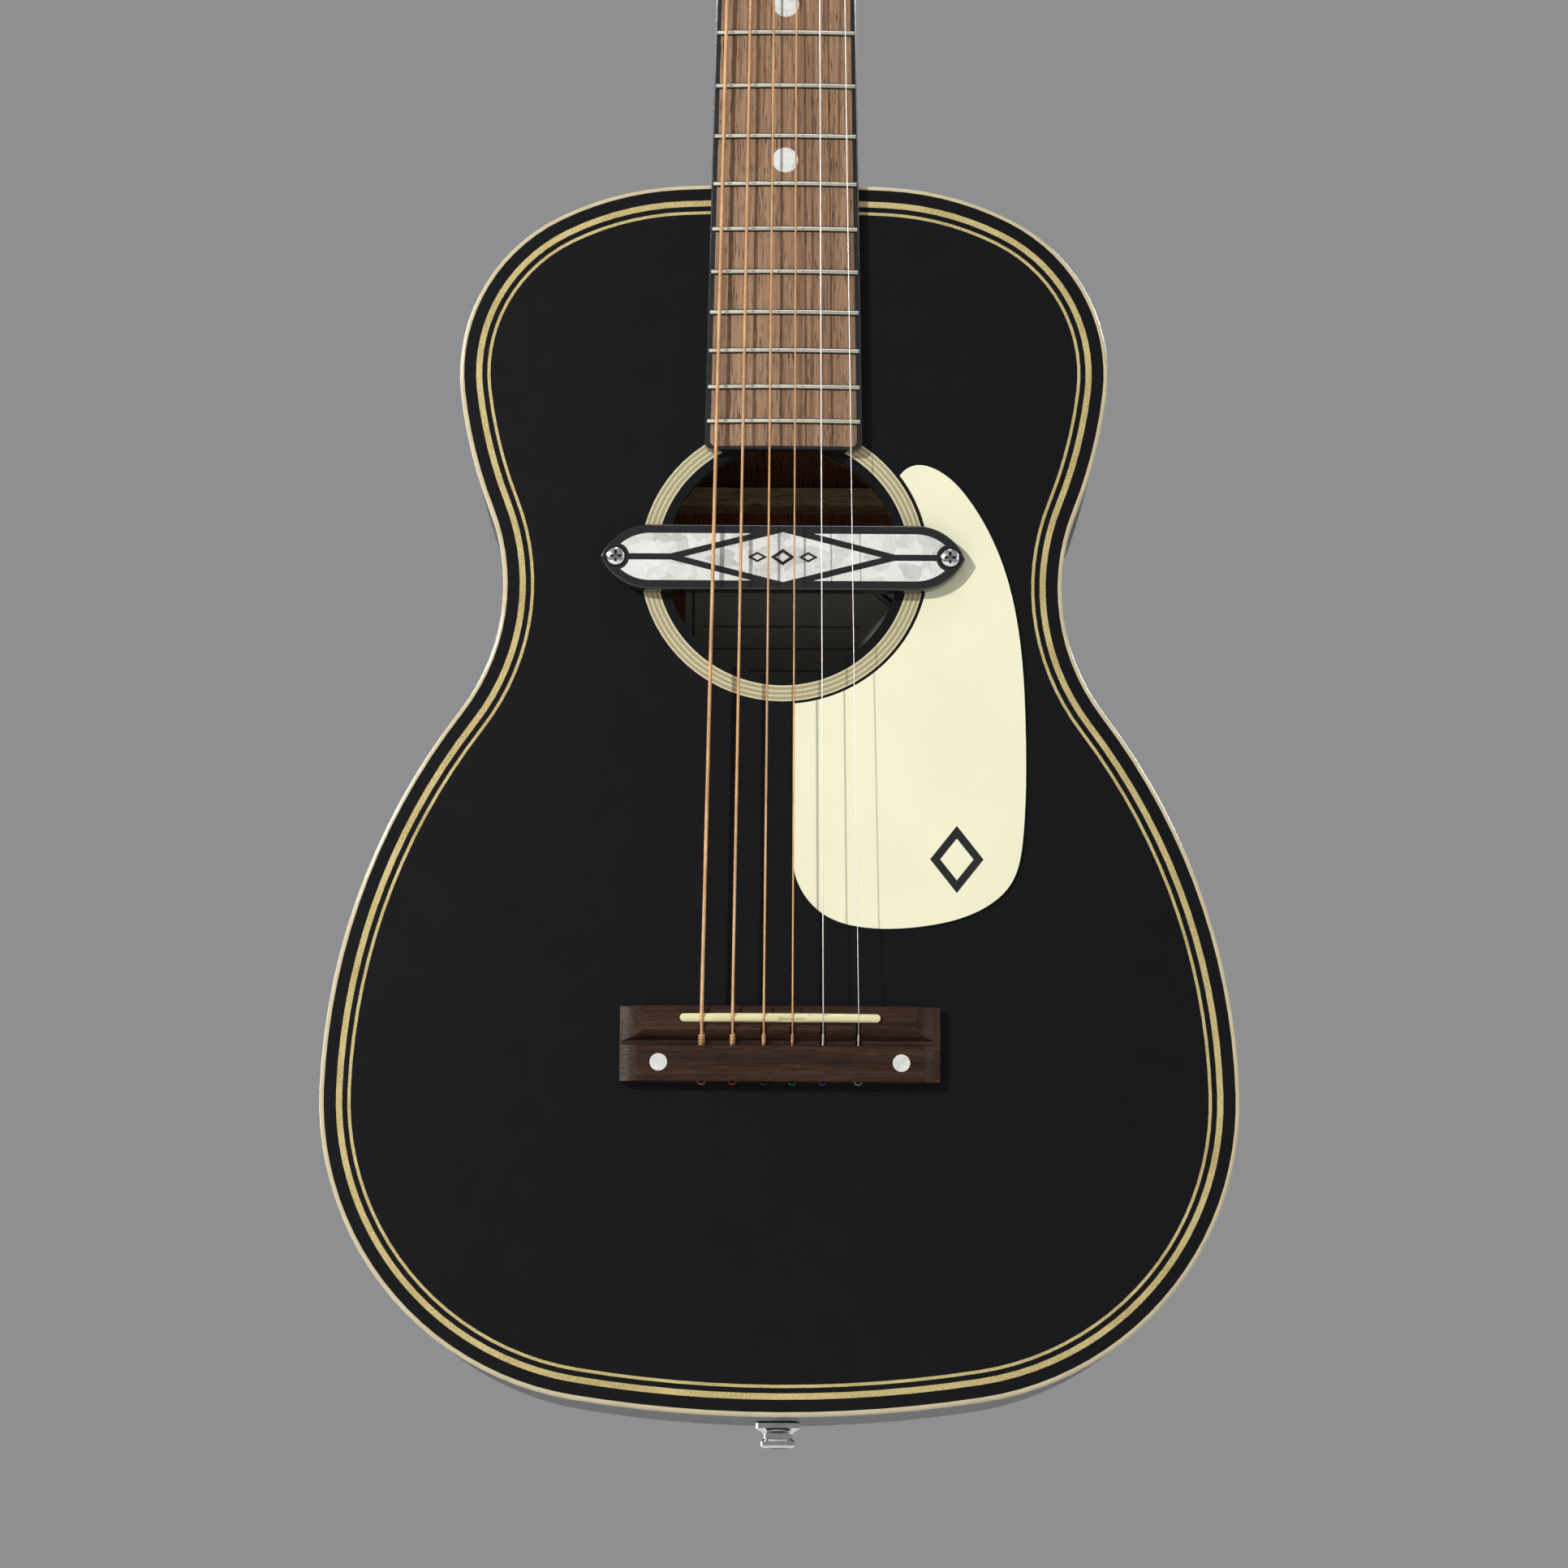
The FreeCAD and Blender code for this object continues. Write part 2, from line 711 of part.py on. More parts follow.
def neck_shaft():
    """Neck and heel: a slow taper, then a sweeping heel that ends in a flat cap."""
    straight = [-6.0, 50.0, 115.0, 180.0, HEEL_START_S]
    step = (HEEL_END_S - HEEL_START_S) / HEEL_STEPS
    bent = [HEEL_START_S + step * i for i in range(HEEL_STEPS + 1)]
    bars = []
    for places in (straight, bent):
        wires = []
        for s in places:
            share = max(0.0, (s - HEEL_START_S) / (HEEL_END_S - HEEL_START_S))
            half = board_half(s) - HEEL_NARROWING * share
            wires.append(neck_section(s, neck_depth(s), half))
        bars.append(Part.makeLoft(wires, True, False))
    shaft = bars[0].fuse(bars[1])
    behind = back_slab(0.0, INSIDE_DEPTH, z1=800.0)
    return shaft.common(behind).cut(outline_prism(0, -100, 200))


TRUSS_CHANNEL = (3.2, 10.0)
TRUSS_START_S = -1.0
TRUSS_END_S = 288.0
TRUSS_AXIS = 6.4
TRUSS_RADIUS = 2.6
TRUSS_STRAP = (2.8, 3.4)
TRUSS_END_BLOCK = (3.0, 9.4, 10.0)
TRUSS_NUT_REACH = 6.0
TRUSS_KEY_RADIUS = 1.8
TRUSS_KEY_DEPTH = 4.0
COVER_AREA = (8.0, 40.0, 9.0)
COVER_THICK = 1.8
SNUG = 0.1


def truss_channel():
    half, depth = TRUSS_CHANNEL
    return block(
        -half, half, Y_TOP, Y_TOP + depth,
        at(0, TRUSS_END_S + 2.0, 0).z, at(0, TRUSS_START_S - 1.0, 0).z,
    )


def truss_pocket():
    pocket = block(-5.0, 5.0, -1.0, 9.0, 2.0, 30.0)
    return head_solid(pocket)


def truss_rod():
    """Two-way rod: steel bar and blocks in the channel, with its adjusting nut at the head."""
    low = at(0, TRUSS_END_S, 0).z
    high = at(0, TRUSS_START_S, 0).z
    shoulder = high - TRUSS_NUT_REACH
    y = Y_TOP + TRUSS_AXIS
    rod = Part.makeCylinder(TRUSS_RADIUS, high - low, Vector(0, y, low), UP)
    strap_half, strap_depth = TRUSS_STRAP
    strap = block(-strap_half, strap_half, Y_TOP + SNUG, Y_TOP + strap_depth, low, shoulder)
    half, depth, length = TRUSS_END_BLOCK
    ends = [
        block(-half, half, Y_TOP + SNUG, Y_TOP + depth, z, z + length)
        for z in (low, shoulder - length)
    ]
    rod = fuse_all([rod, strap] + ends)
    socket = Part.makeCylinder(
        TRUSS_KEY_RADIUS, 3 * TRUSS_KEY_DEPTH, Vector(0, y, high - TRUSS_KEY_DEPTH), UP
    )
    return rod.cut(socket)


def post_centre(index):
    a = POST_PLACES[index]
    return head_half(a) - POST_INSET, a


TUNERS = (
    (1, 0), (1, 1), (1, 2), (-1, 2), (-1, 1), (-1, 0),
)


def tuner_centre(number):
    side, index = TUNERS[number - 1]
    x, a = post_centre(index)
    return side * x, a


def neck():
    blank = head_solid(head_blank())
    wood = neck_shaft().fuse(blank)
    shelf = block(-40, 40, Y_TOP - 20, Y_TOP, at(0, 10, 0).z, at(0, -NUT_LENGTH, 0).z)
    wood = wood.cut(shelf)
    behind = block(-40, 40, Y_TOP - 30, Y_TOP, at(0, 0, 0).z - 30, at(0, -NUT_LENGTH, 0).z)
    wood = wood.cut(behind)
    wood = wood.fuse(tenon())
    wood = wood.cut(truss_channel()).cut(truss_pocket())
    for number in range(1, 7):
        x, a = tuner_centre(number)
        hole = Part.makeCylinder(4.6, HEAD_THICK + 4, Vector(x, -2, a), Vector(0, 1, 0))
        wood = wood.cut(head_solid(hole))
    wood = wood.cut(strap_button())
    return wood.removeSplitter()


def truss_rod_cover():
    """Plain bell-shaped cover over the rod's pocket, held by the two screws."""
    low, high, half = COVER_AREA
    narrow = 5.0
    edges = [
        line(Vector(-half, 0, low), Vector(half, 0, low)),
        Part.Arc(
            Vector(half, 0, low), Vector(half - 1.5, 0, low + 12), Vector(narrow, 0, high - 5)
        ).toShape(),
        Part.Arc(
            Vector(narrow, 0, high - 5), Vector(0, 0, high), Vector(-narrow, 0, high - 5)
        ).toShape(),
        Part.Arc(
            Vector(-narrow, 0, high - 5), Vector(1.5 - half, 0, low + 12), Vector(-half, 0, low)
        ).toShape(),
    ]
    face = Part.Face(Part.Wire(Part.__sortEdges__(edges)))
    return head_solid(face.extrude(Vector(0, -COVER_THICK, 0)))


NUT_TOP_H = BOARD_THICK + FRET_HEIGHT + 0.75


def nut():
    half = NUT_WIDTH / 2.0
    blank = block(
        -half, half, Y_TOP - NUT_TOP_H - 2, Y_TOP, at(0, 0, 0).z, at(0, -NUT_LENGTH, 0).z
    )
    crown = Part.makeCylinder(
        BOARD_RADIUS + NUT_TOP_H - BOARD_THICK, 40.0, at(0, 20, BOARD_AXIS_H), UP
    )
    bone = blank.common(crown)
    for number in range(1, 7):
        front, back = string_route(number)[3:5]
        along = (back - front).normalize()
        radius = STRINGS[number - 1][0] + RUN_GAP
        length = NUT_LENGTH + 8.0
        bone = bone.cut(Part.makeCylinder(radius, length, front - along * 4.0, along))
    return bone


# ---------------------------------------------------------------- strings


SADDLE_TOP = BRIDGE_HEIGHT + SADDLE_PROUD
CROWN_DROP = 1.1
SADDLE_SLOT_DEPTH = 4.5
FACET_WIDTH = 1.3
FACET_DROP = 1.6
SADDLE_FACETS = ((-0.5, 9.0, 1), (10.2, 21.0, -1), (22.4, 31.5, 1))
WIND_GAP = 0.25
COIL_BASE_B = -2.2
BALL_S = BRIDGE_S1 + BALL_PROUD - BALL_LENGTH
EXIT_S = 622.4
EXIT_H = 3.6
STRING_LIFT = 0.06
STRING_IN_BALL = 0.6
NUT_SLOT_FALL = 0.6


def string_route(number):
    """Axis of a string: ball end, bridge, saddle, nut, and the tangent on its post."""
    radius, x_saddle, turns = STRINGS[number - 1]
    x_nut = NUT_SPREAD * (0.5 - (number - 1) / 5.0)
    lift = radius + STRING_LIFT
    saddle = at(x_saddle, SADDLE_S, SADDLE_TOP - camber_drop(x_saddle) + lift)
    nut_h = NUT_TOP_H - camber_drop(x_nut)
    slot_front = at(x_nut, 0.0, nut_h)
    slot_back = at(x_nut, -NUT_LENGTH, nut_h - NUT_SLOT_FALL)
    cx, ca = tuner_centre(number)
    side = 1.0 if cx > 0 else -1.0
    local = HEAD.inverse().multVec(slot_back)
    ring = POST_RADIUS + WIND_GAP + radius
    dx, da = cx - local.x, ca - local.z
    reach = math.hypot(dx, da)
    bearing = math.atan2(dx, da) - side * math.asin(ring / reach)
    run = math.sqrt(reach ** 2 - ring ** 2)
    touch = head_place(
        local.x + run * math.sin(bearing), local.z + run * math.cos(bearing),
        COIL_BASE_B - radius,
    )
    return [
        at(x_saddle, BALL_S + STRING_IN_BALL, BALL_H), at(x_saddle, EXIT_S, EXIT_H), saddle,
        slot_front, slot_back, touch,
    ]


def string(number):
    radius, x_saddle, turns = STRINGS[number - 1]
    route = string_route(number)
    wire = tube(route, radius)
    cx, ca = tuner_centre(number)
    inner = POST_RADIUS + WIND_GAP
    height = 2 * radius * turns
    coil = Part.makeCylinder(
        inner + 2 * radius, height, Vector(cx, COIL_BASE_B - height, ca), Vector(0, 1, 0)
    )
    hollow = Part.makeCylinder(
        inner, height + 4, Vector(cx, COIL_BASE_B - height - 2, ca), Vector(0, 1, 0)
    )
    coil = head_solid(coil)
    hollow = head_solid(hollow)
    wire = wire.cut(hollow)
    start = at(x_saddle, BALL_S, BALL_H)
    ball = Part.makeCylinder(BALL_RADIUS, BALL_LENGTH, start, -UP)
    return fuse_all([wire, coil.cut(hollow), ball])


# ---------------------------------------------------------------- bridge


STRING_HOLE_GAP = 0.2
BALL_BAR_HEIGHT = 6.9
SCOOP_X = 60.3
SCOOP_RADIUS = 16.0
WING_HEIGHT = 3.8
BRIDGE_DOT = (43.2, 628.6, 3.1)


def bridge():
    """Through-string bridge: saddle block, sloped step, and the bar that holds the balls."""
    profile = [
        (BRIDGE_S0, 0.0), (BRIDGE_S0, 7.6), (BRIDGE_S0 + 1.2, BRIDGE_HEIGHT),
        (617.2, BRIDGE_HEIGHT), (620.6, 4.4), (622.2, 4.1), (622.6, BALL_BAR_HEIGHT),
        (BRIDGE_S1 - 0.8, BALL_BAR_HEIGHT), (BRIDGE_S1, BALL_BAR_HEIGHT - 0.8),
        (BRIDGE_S1, 0.0),
    ]
    points = [at(-BRIDGE_HALF, s, h) for s, h in profile]
    face = Part.Face(Part.makePolygon(points + [points[0]]))
    wood = face.extrude(Vector(2 * BRIDGE_HALF, 0, 0))
    for side in (1, -1):
        centre = at(side * SCOOP_X, BRIDGE_S1 + 10, WING_HEIGHT + SCOOP_RADIUS)
        wood = wood.cut(Part.makeCylinder(SCOOP_RADIUS, 60.0, centre, UP))
    wood = wood.cut(saddle_blank(BRIDGE_HEIGHT - SADDLE_SLOT_DEPTH, 30.0))
    for number, (radius, x, turns) in enumerate(STRINGS, start=1):
        route = string_route(number)[:3]
        wood = wood.cut(tube(route, max(1.1, radius + STRING_HOLE_GAP)))
        pocket = at(x, BALL_S - 0.2, BALL_H)
        wood = wood.cut(Part.makeCylinder(BALL_POCKET, BALL_LENGTH, pocket, -UP))
    for side in (1, -1):
        wood = wood.cut(bridge_dot(side))
    return wood


def bridge_dot(side):
    x, s, radius = BRIDGE_DOT
    return disc(side * x, s, radius, BALL_BAR_HEIGHT - 1.5, BALL_BAR_HEIGHT)


def saddle_blank(h0, h1):
    half_thick = SADDLE_THICK / 2.0
    reach = SADDLE_HALF - half_thick
    edges = [
        line(at(-reach, SADDLE_S - half_thick, 0), at(reach, SADDLE_S - half_thick, 0)),
        Part.Arc(
            at(reach, SADDLE_S - half_thick, 0), at(SADDLE_HALF, SADDLE_S, 0),
            at(reach, SADDLE_S + half_thick, 0),
        ).toShape(),
        line(at(reach, SADDLE_S + half_thick, 0), at(-reach, SADDLE_S + half_thick, 0)),
        Part.Arc(
            at(-reach, SADDLE_S + half_thick, 0), at(-SADDLE_HALF, SADDLE_S, 0),
            at(-reach, SADDLE_S - half_thick, 0),
        ).toShape(),
    ]
    return plate(edges, h0, h1)


def saddle_crown():
    """Rounded crown, revolved about the axis of the fretboard's camber."""
    near = SADDLE_S - SADDLE_THICK / 2.0
    far = SADDLE_S + SADDLE_THICK / 2.0
    shoulder = SADDLE_TOP - CROWN_DROP
    below = -20.0
    profile = [
        line(at(0, near, below), at(0, near, shoulder)),
        Part.Arc(at(0, near, shoulder), at(0, SADDLE_S, SADDLE_TOP), at(0, far, shoulder)).toShape(),
        line(at(0, far, shoulder), at(0, far, below)),
        line(at(0, far, below), at(0, near, below)),
    ]
    face = Part.Face(Part.Wire(Part.__sortEdges__(profile)))
    base = at(0, 0, SADDLE_TOP - BOARD_RADIUS)
    turn = 1.2 * math.degrees(SADDLE_HALF / BOARD_RADIUS)
    face.rotate(base, UP, -turn)
    return face.revolve(base, UP, 2 * turn)


def compensation(x0, x1, toward):
    """Wedge that sets the crest back by one facet; toward is +1 for a facet facing the tail."""
    edge = SADDLE_S + toward * SADDLE_THICK / 2.0
    corners = [
        at(x0, edge - toward * FACET_WIDTH, SADDLE_TOP), at(x0, edge + toward, SADDLE_TOP),
        at(x0, edge + toward, SADDLE_TOP - FACET_DROP), at(x0, edge, SADDLE_TOP - FACET_DROP),
    ]
    face = Part.Face(Part.makePolygon(corners + [corners[0]]))
    return face.extrude(Vector(x1 - x0, 0, 0))


def saddle():
    """Bone saddle with a cambered crown, facets under three strings, and string slots."""
    bone = saddle_blank(BRIDGE_HEIGHT - SADDLE_SLOT_DEPTH, SADDLE_TOP + 1).common(saddle_crown())
    for x0, x1, toward in SADDLE_FACETS:
        bone = bone.cut(compensation(x0, x1, toward))
    for number in range(1, 7):
        radius = STRINGS[number - 1][0] + RUN_GAP
        ball, mouth, crest, nut_edge = string_route(number)[:4]
        for end in (mouth, nut_edge):
            along = (end - crest).normalize()
            bone = bone.cut(Part.makeCylinder(radius, 8.0, crest - along, along))
    return bone


# ---------------------------------------------------------------- pickup and jack


COVER_HALF = 12.0
COVER_STRAIGHT = 48.0
COVER_TIP = 66.0
COVER_TOP = 6.6
PICKUP_SCREW_X = 60.5


def ogive(inset, h0, h1):
    """Bar with two pointed ends, moved inwards by inset."""
    run = COVER_TIP - COVER_STRAIGHT
    full = (run ** 2 + COVER_HALF ** 2) / (2 * COVER_HALF)
    radius = full - inset
    drop = full - COVER_HALF
    tip = COVER_STRAIGHT + math.sqrt(radius ** 2 - drop ** 2)
    high = COVER_HALF - inset
    turn = math.acos(drop / radius) / 2.0
    mid = (COVER_STRAIGHT + radius * math.sin(turn), radius * math.cos(turn) - drop)
    edges = []
    for up in (1, -1):
        edges.append(line(
            at(-COVER_STRAIGHT, HOLE_S + up * high, 0), at(COVER_STRAIGHT, HOLE_S + up * high, 0)
        ))
        for side in (1, -1):
            edges.append(Part.Arc(
                at(side * COVER_STRAIGHT, HOLE_S + up * high, 0),
                at(side * mid[0], HOLE_S + up * mid[1], 0),
                at(side * tip, HOLE_S, 0),
            ).toShape())
    return plate(edges, h0, h1)


DIAMOND = (35.8, 9.2)
LINE_WIDTH = 2.3
FRAME_WIDTH = 3.3
INLAY_H = (COVER_TOP - 0.7, COVER_TOP)


def diamond(half_x, half_s, h0, h1):
    corners = [(half_x, 0), (0, half_s), (-half_x, 0), (0, -half_s)]
    return plate(polygon([at(x, HOLE_S + ds, 0) for x, ds in corners]), h0, h1)


def pickup_inlay():
    """Central lozenge and four wings let into the cover, with dark lines left between."""
    half_x, half_s = DIAMOND
    slope = math.hypot(half_x, half_s)
    grow = LINE_WIDTH * slope
    outer = (half_x + grow / half_s, half_s + grow / half_x)
    middle = diamond(half_x, half_s, *INLAY_H)
    wings = ogive(FRAME_WIDTH, *INLAY_H).cut(diamond(outer[0], outer[1], 0, 20))
    bar = LINE_WIDTH / 2.0
    z = at(0, HOLE_S, 0).z
    wings = wings.cut(block(-70, 70, Y_TOP - 20, Y_TOP, z - bar, z + bar))
    for side in (1, -1):
        wings = wings.cut(disc(side * PICKUP_SCREW_X, HOLE_S, 5.0, 0, 20))
    return Part.makeCompound([middle] + wings.Solids)


COIL_BOX = (33.0, 7.5, -11.0, 4.4)
COVER_ROUND = 0.8
HEAD_SEAT_RADIUS = 3.8
HEAD_SEAT_DEPTH = 1.0
SCREW_HEAD_RADIUS = 3.5
SCREW_HEAD_TOP = COVER_TOP + 0.9
SCREW_SHANK = (1.55, -9.0)
CLAMP_SPAN = (37.0, 64.0)
CLAMP_HALF = 5.0
CLAMP_THICK = 2.0


def coil_block(grow):
    half_x, half_s, h0, h1 = COIL_BOX
    z = at(0, HOLE_S, 0).z
    return block(
        -half_x - grow, half_x + grow, Y_TOP - h1 - grow, Y_TOP - h0,
        z - half_s - grow, z + half_s + grow,
    )


def pickup_cover():
    cover = ogive(0, 0, COVER_TOP)
    outer = [edge for edge in cover.Edges if abs(edge.BoundBox.YMax + COVER_TOP - Y_TOP) < 0.01]
    cover = cover.makeFillet(COVER_ROUND, outer)
    cover = cover.cut(coil_block(0.3)).cut(pickup_inlay()).cut(pickguard())
    for side in (1, -1):
        cover = cover.cut(disc(side * PICKUP_SCREW_X, HOLE_S, 2.0, -1, 20))
        cover = cover.cut(disc(
            side * PICKUP_SCREW_X, HOLE_S, HEAD_SEAT_RADIUS, COVER_TOP - HEAD_SEAT_DEPTH, 20
        ))
    return cover


def pickup_coil():
    """Potted coil and its bar magnet, hanging in the soundhole under the cover."""
    return coil_block(0)


def pickup_clamps():
    """Slotted bars under the top that pinch it against the cover, one at each end."""
    bars = []
    for side in (1, -1):
        x0, x1 = sorted(side * x for x in CLAMP_SPAN)
        z = at(0, HOLE_S, 0).z
        y_under = Y_TOP + TOP_THICK
        bar = block(x0, x1, y_under, y_under + CLAMP_THICK, z - CLAMP_HALF, z + CLAMP_HALF)
        hole = disc(side * PICKUP_SCREW_X, HOLE_S, 1.6, -8, 1)
        bars.append(bar.cut(hole))
    return Part.makeCompound(bars)


def cross_slot(place, axis, radius, depth):
    """Cross recess for a screw head, cut along its axis."""
    cutters = []
    for along, across in ((radius * 1.3, radius * 0.3), (radius * 0.3, radius * 1.3)):
        cutter = Part.makeBox(along, across, depth + 1, Vector(-along / 2, -across / 2, -depth))
        cutter.Placement = Placement(place, Rotation(UP, axis))
        cutters.append(cutter)
    return cutters[0].fuse(cutters[1])


def pickup_screws():
    screws = []
    for side in (1, -1):
        x = side * PICKUP_SCREW_X
        radius, foot = SCREW_SHANK
        seat = COVER_TOP - HEAD_SEAT_DEPTH
        shank = disc(x, HOLE_S, radius, foot, seat + 0.1)
        head = disc(x, HOLE_S, SCREW_HEAD_RADIUS, seat, SCREW_HEAD_TOP)
        top = [e for e in head.Edges if abs(e.BoundBox.YMax - (Y_TOP - SCREW_HEAD_TOP)) < 0.01]
        head = head.makeFillet(0.7, [e for e in top if e.BoundBox.XLength > 1])
        screw = fuse_all([shank, head])
        place = at(x, HOLE_S, SCREW_HEAD_TOP)
        screws.append(screw.cut(cross_slot(place, Vector(0, -1, 0), 3.2, 1.0)))
    return Part.makeCompound(screws)


def clearance_for_screws(shape):
    for side in (1, -1):
        shape = shape.cut(disc(side * PICKUP_SCREW_X, HOLE_S, 1.8, -9.5, 4))
    return shape


JACK_BORE = 3.2
JACK_THREAD = 5.9
JACK_OUT = 9.5
JACK_IN = 46.0
JACK_PLUG = 8.0
WASHER_THICK = 1.2


# Lead from the coil, where it is potted in, to the jack: model-frame points chosen by hand.
LEAD_RADIUS = 1.5
LEAD_ROUTE = (
    Vector(30, -39.0, 303), Vector(46, -36, 290), Vector(70, -28, 254), Vector(89, -16, 208),
    Vector(92, -6, 160), Vector(76, 0, 124), Vector(40, 1, 103), Vector(0, 0, 96),
    Vector(0, 0, JACK_IN - 5),
)


def pickup_lead():
    return rounded_tube(LEAD_ROUTE, LEAD_RADIUS)


def endpin_jack():
    """Strap-pin jack: cap and threaded barrel, contact plug, inner washer and nut."""
    profile = [
        (JACK_BORE, -JACK_OUT), (5.4, -JACK_OUT), (6.4, -JACK_OUT + 0.9),
        (6.4, -JACK_OUT + 2.4), (5.2, -JACK_OUT + 3.4), (5.2, -4.4), (6.4, -3.4),
        (8.25, -2.4), (8.25, -0.6), (7.6, 0.0), (JACK_THREAD, 0.0),
        (JACK_THREAD, JACK_IN - JACK_PLUG), (JACK_BORE, JACK_IN - JACK_PLUG),
    ]
    points = [Vector(r, 0, z) for r, z in profile]
    barrel = spin(points, Vector(0, 0, 0), UP)
    contact_profile = [
        (LEAD_RADIUS + 0.2, JACK_IN - JACK_PLUG), (JACK_THREAD, JACK_IN - JACK_PLUG),
        (JACK_THREAD, JACK_IN - 3.0), (4.2, JACK_IN), (LEAD_RADIUS + 0.2, JACK_IN),
    ]
    contacts = spin([Vector(r, 0, z) for r, z in contact_profile], Vector(0, 0, 0), UP)
    washer = Part.makeCylinder(9.5, WASHER_THICK, Vector(0, 0, TAIL_BLOCK[1]), UP)
    nut_base = TAIL_BLOCK[1] + WASHER_THICK
    hexagon = [
        Vector(8.2 * math.cos(math.pi * i / 3), 8.2 * math.sin(math.pi * i / 3), nut_base)
        for i in range(6)
    ]
    hex_nut = Part.Face(Part.makePolygon(hexagon + [hexagon[0]])).extrude(UP * 4.0)
    thread = jack_hole(JACK_THREAD)
    return Part.makeCompound([barrel, contacts, washer.cut(thread), hex_nut.cut(thread)])


STRAP_BUTTON_S = 282.0
STRAP_SCREW_RADIUS = 1.7
STRAP_SCREW_LENGTH = 22.0


def strap_button_place():
    """Where the strap button's foot meets the back of the heel."""
    return at(0, STRAP_BUTTON_S, 1.2 - neck_depth(STRAP_BUTTON_S))


def strap_screw():
    start = strap_button_place() - Vector(0, STRAP_SCREW_LENGTH, 0)
    return Part.makeCylinder(STRAP_SCREW_RADIUS, STRAP_SCREW_LENGTH, start, Vector(0, 1, 0))


def strap_button():
    """Turned button on the back of the heel, with its cross-slotted screw."""
    seat = strap_button_place()
    profile = [
        (0.0, 0.0), (5.6, 0.0), (5.6, 1.2), (3.6, 3.0), (3.6, 6.0), (6.2, 8.6),
        (7.0, 9.6), (6.6, 10.8), (4.0, 11.8), (0.0, 12.0),
    ]
    points = [seat + Vector(r, b, 0) for r, b in profile]
    button = fuse_all([spin(points, seat, Vector(0, 1, 0)), strap_screw()])
    crown = seat + Vector(0, 12.0, 0)
    return button.cut(cross_slot(crown, Vector(0, 1, 0), 2.6, 1.2))


# ---------------------------------------------------------------- tuners


PLATE_THICK = 1.0
WHEEL_GAP = 2.0
WHEEL_B = (
    HEAD_THICK + PLATE_THICK + WHEEL_GAP, HEAD_THICK + PLATE_THICK + WHEEL_GAP + WHEEL_THICK
)
WORM_B = (WHEEL_B[0] + WHEEL_B[1]) / 2.0
WHEEL_PITCH_RADIUS = WHEEL_TEETH * WHEEL_MODULE / 2.0
WORM_PITCH = math.pi * WHEEL_MODULE
CENTRE_DISTANCE = WHEEL_PITCH_RADIUS + WORM_PITCH_RADIUS
WORM_LENGTH = 9.0
SHAFT_RADIUS = 1.6
EAR_OFFSET = 6.6
BUTTON_GAP = 5.5
SIDE_TILT = math.degrees(
    math.atan((HEAD_HALF_TOP - HEAD_HALF_NUT) / (HEAD_LENGTH - HEAD_FLARE_A))
)


def tuner_frame(number):
    """Placement of a tuner: local X points out of the head, local Z runs along the plate."""
    side, index = TUNERS[number - 1]
    x, a = tuner_centre(number)
    if side > 0:
        turn = Rotation(Vector(0, 1, 0), SIDE_TILT)
    else:
        turn = Rotation(Vector(0, 1, 0), 180.0 - SIDE_TILT)
    return HEAD.multiply(Placement(Vector(x, 0, a), turn))


def worm_side(number):
    """+1 where the worm lies towards local +Z of its tuner frame."""
    return -TUNERS[number - 1][0]


def place_tuner(shape, number):
    moved = shape.copy()
    moved.Placement = tuner_frame(number).multiply(moved.Placement)
    return moved


def worm_thread():
    """Single-start right-hand thread along +X, centred on x = 0."""
    root = WORM_PITCH_RADIUS - 0.75
    crest = WORM_PITCH_RADIUS + 0.55
    span = WORM_LENGTH - 2.4
    helix = Part.makeHelix(WORM_PITCH, span, root)
    profile = Part.makePolygon([
        Vector(root - 0.25, 0, -0.62), Vector(crest, 0, -0.24), Vector(crest, 0, 0.24),
        Vector(root - 0.25, 0, 0.62), Vector(root - 0.25, 0, -0.62),
    ])
    thread = Part.Solid(Part.Wire(helix.Edges).makePipeShell([profile], True, True))
    thread.translate(Vector(0, 0, -span / 2.0))
    return thread, span, root


def tuner_key(number):
    """Key shaft with its worm. The thread's groove faces a tooth of the wheel at rest."""
    thread, span, root = worm_thread()
    core = Part.makeCylinder(root, WORM_LENGTH, Vector(0, 0, -WORM_LENGTH / 2), UP)
    worm = core.fuse(thread)
    turns = span / WORM_PITCH / 2.0
    worm_up = worm_side(number)
    wheel_bearing = 0.0 if worm_up > 0 else 180.0
    # Half a turn from the thread is its groove, which faces the wheel at the middle.
    worm.rotate(Vector(0, 0, 0), UP, wheel_bearing + 180.0 - 360.0 * turns)
    worm.rotate(Vector(0, 0, 0), Vector(0, 1, 0), 90.0)
    inner = -EAR_OFFSET - 1.6
    outer = POST_INSET + BUTTON_GAP + 9.0
    shaft = Part.makeCylinder(SHAFT_RADIUS, outer - inner, Vector(inner, 0, 0), Vector(1, 0, 0))
    collar = Part.makeCylinder(2.6, 2.4, Vector(POST_INSET + 1.2, 0, 0), Vector(1, 0, 0))
    key = fuse_all([worm, shaft, collar])
    key.translate(Vector(0, WORM_B, worm_up * CENTRE_DISTANCE))
    return place_tuner(key, number)


BUTTON_SIZE = (14.0, 7.2, 17.0)
BUTTON_ROUND = 2.6


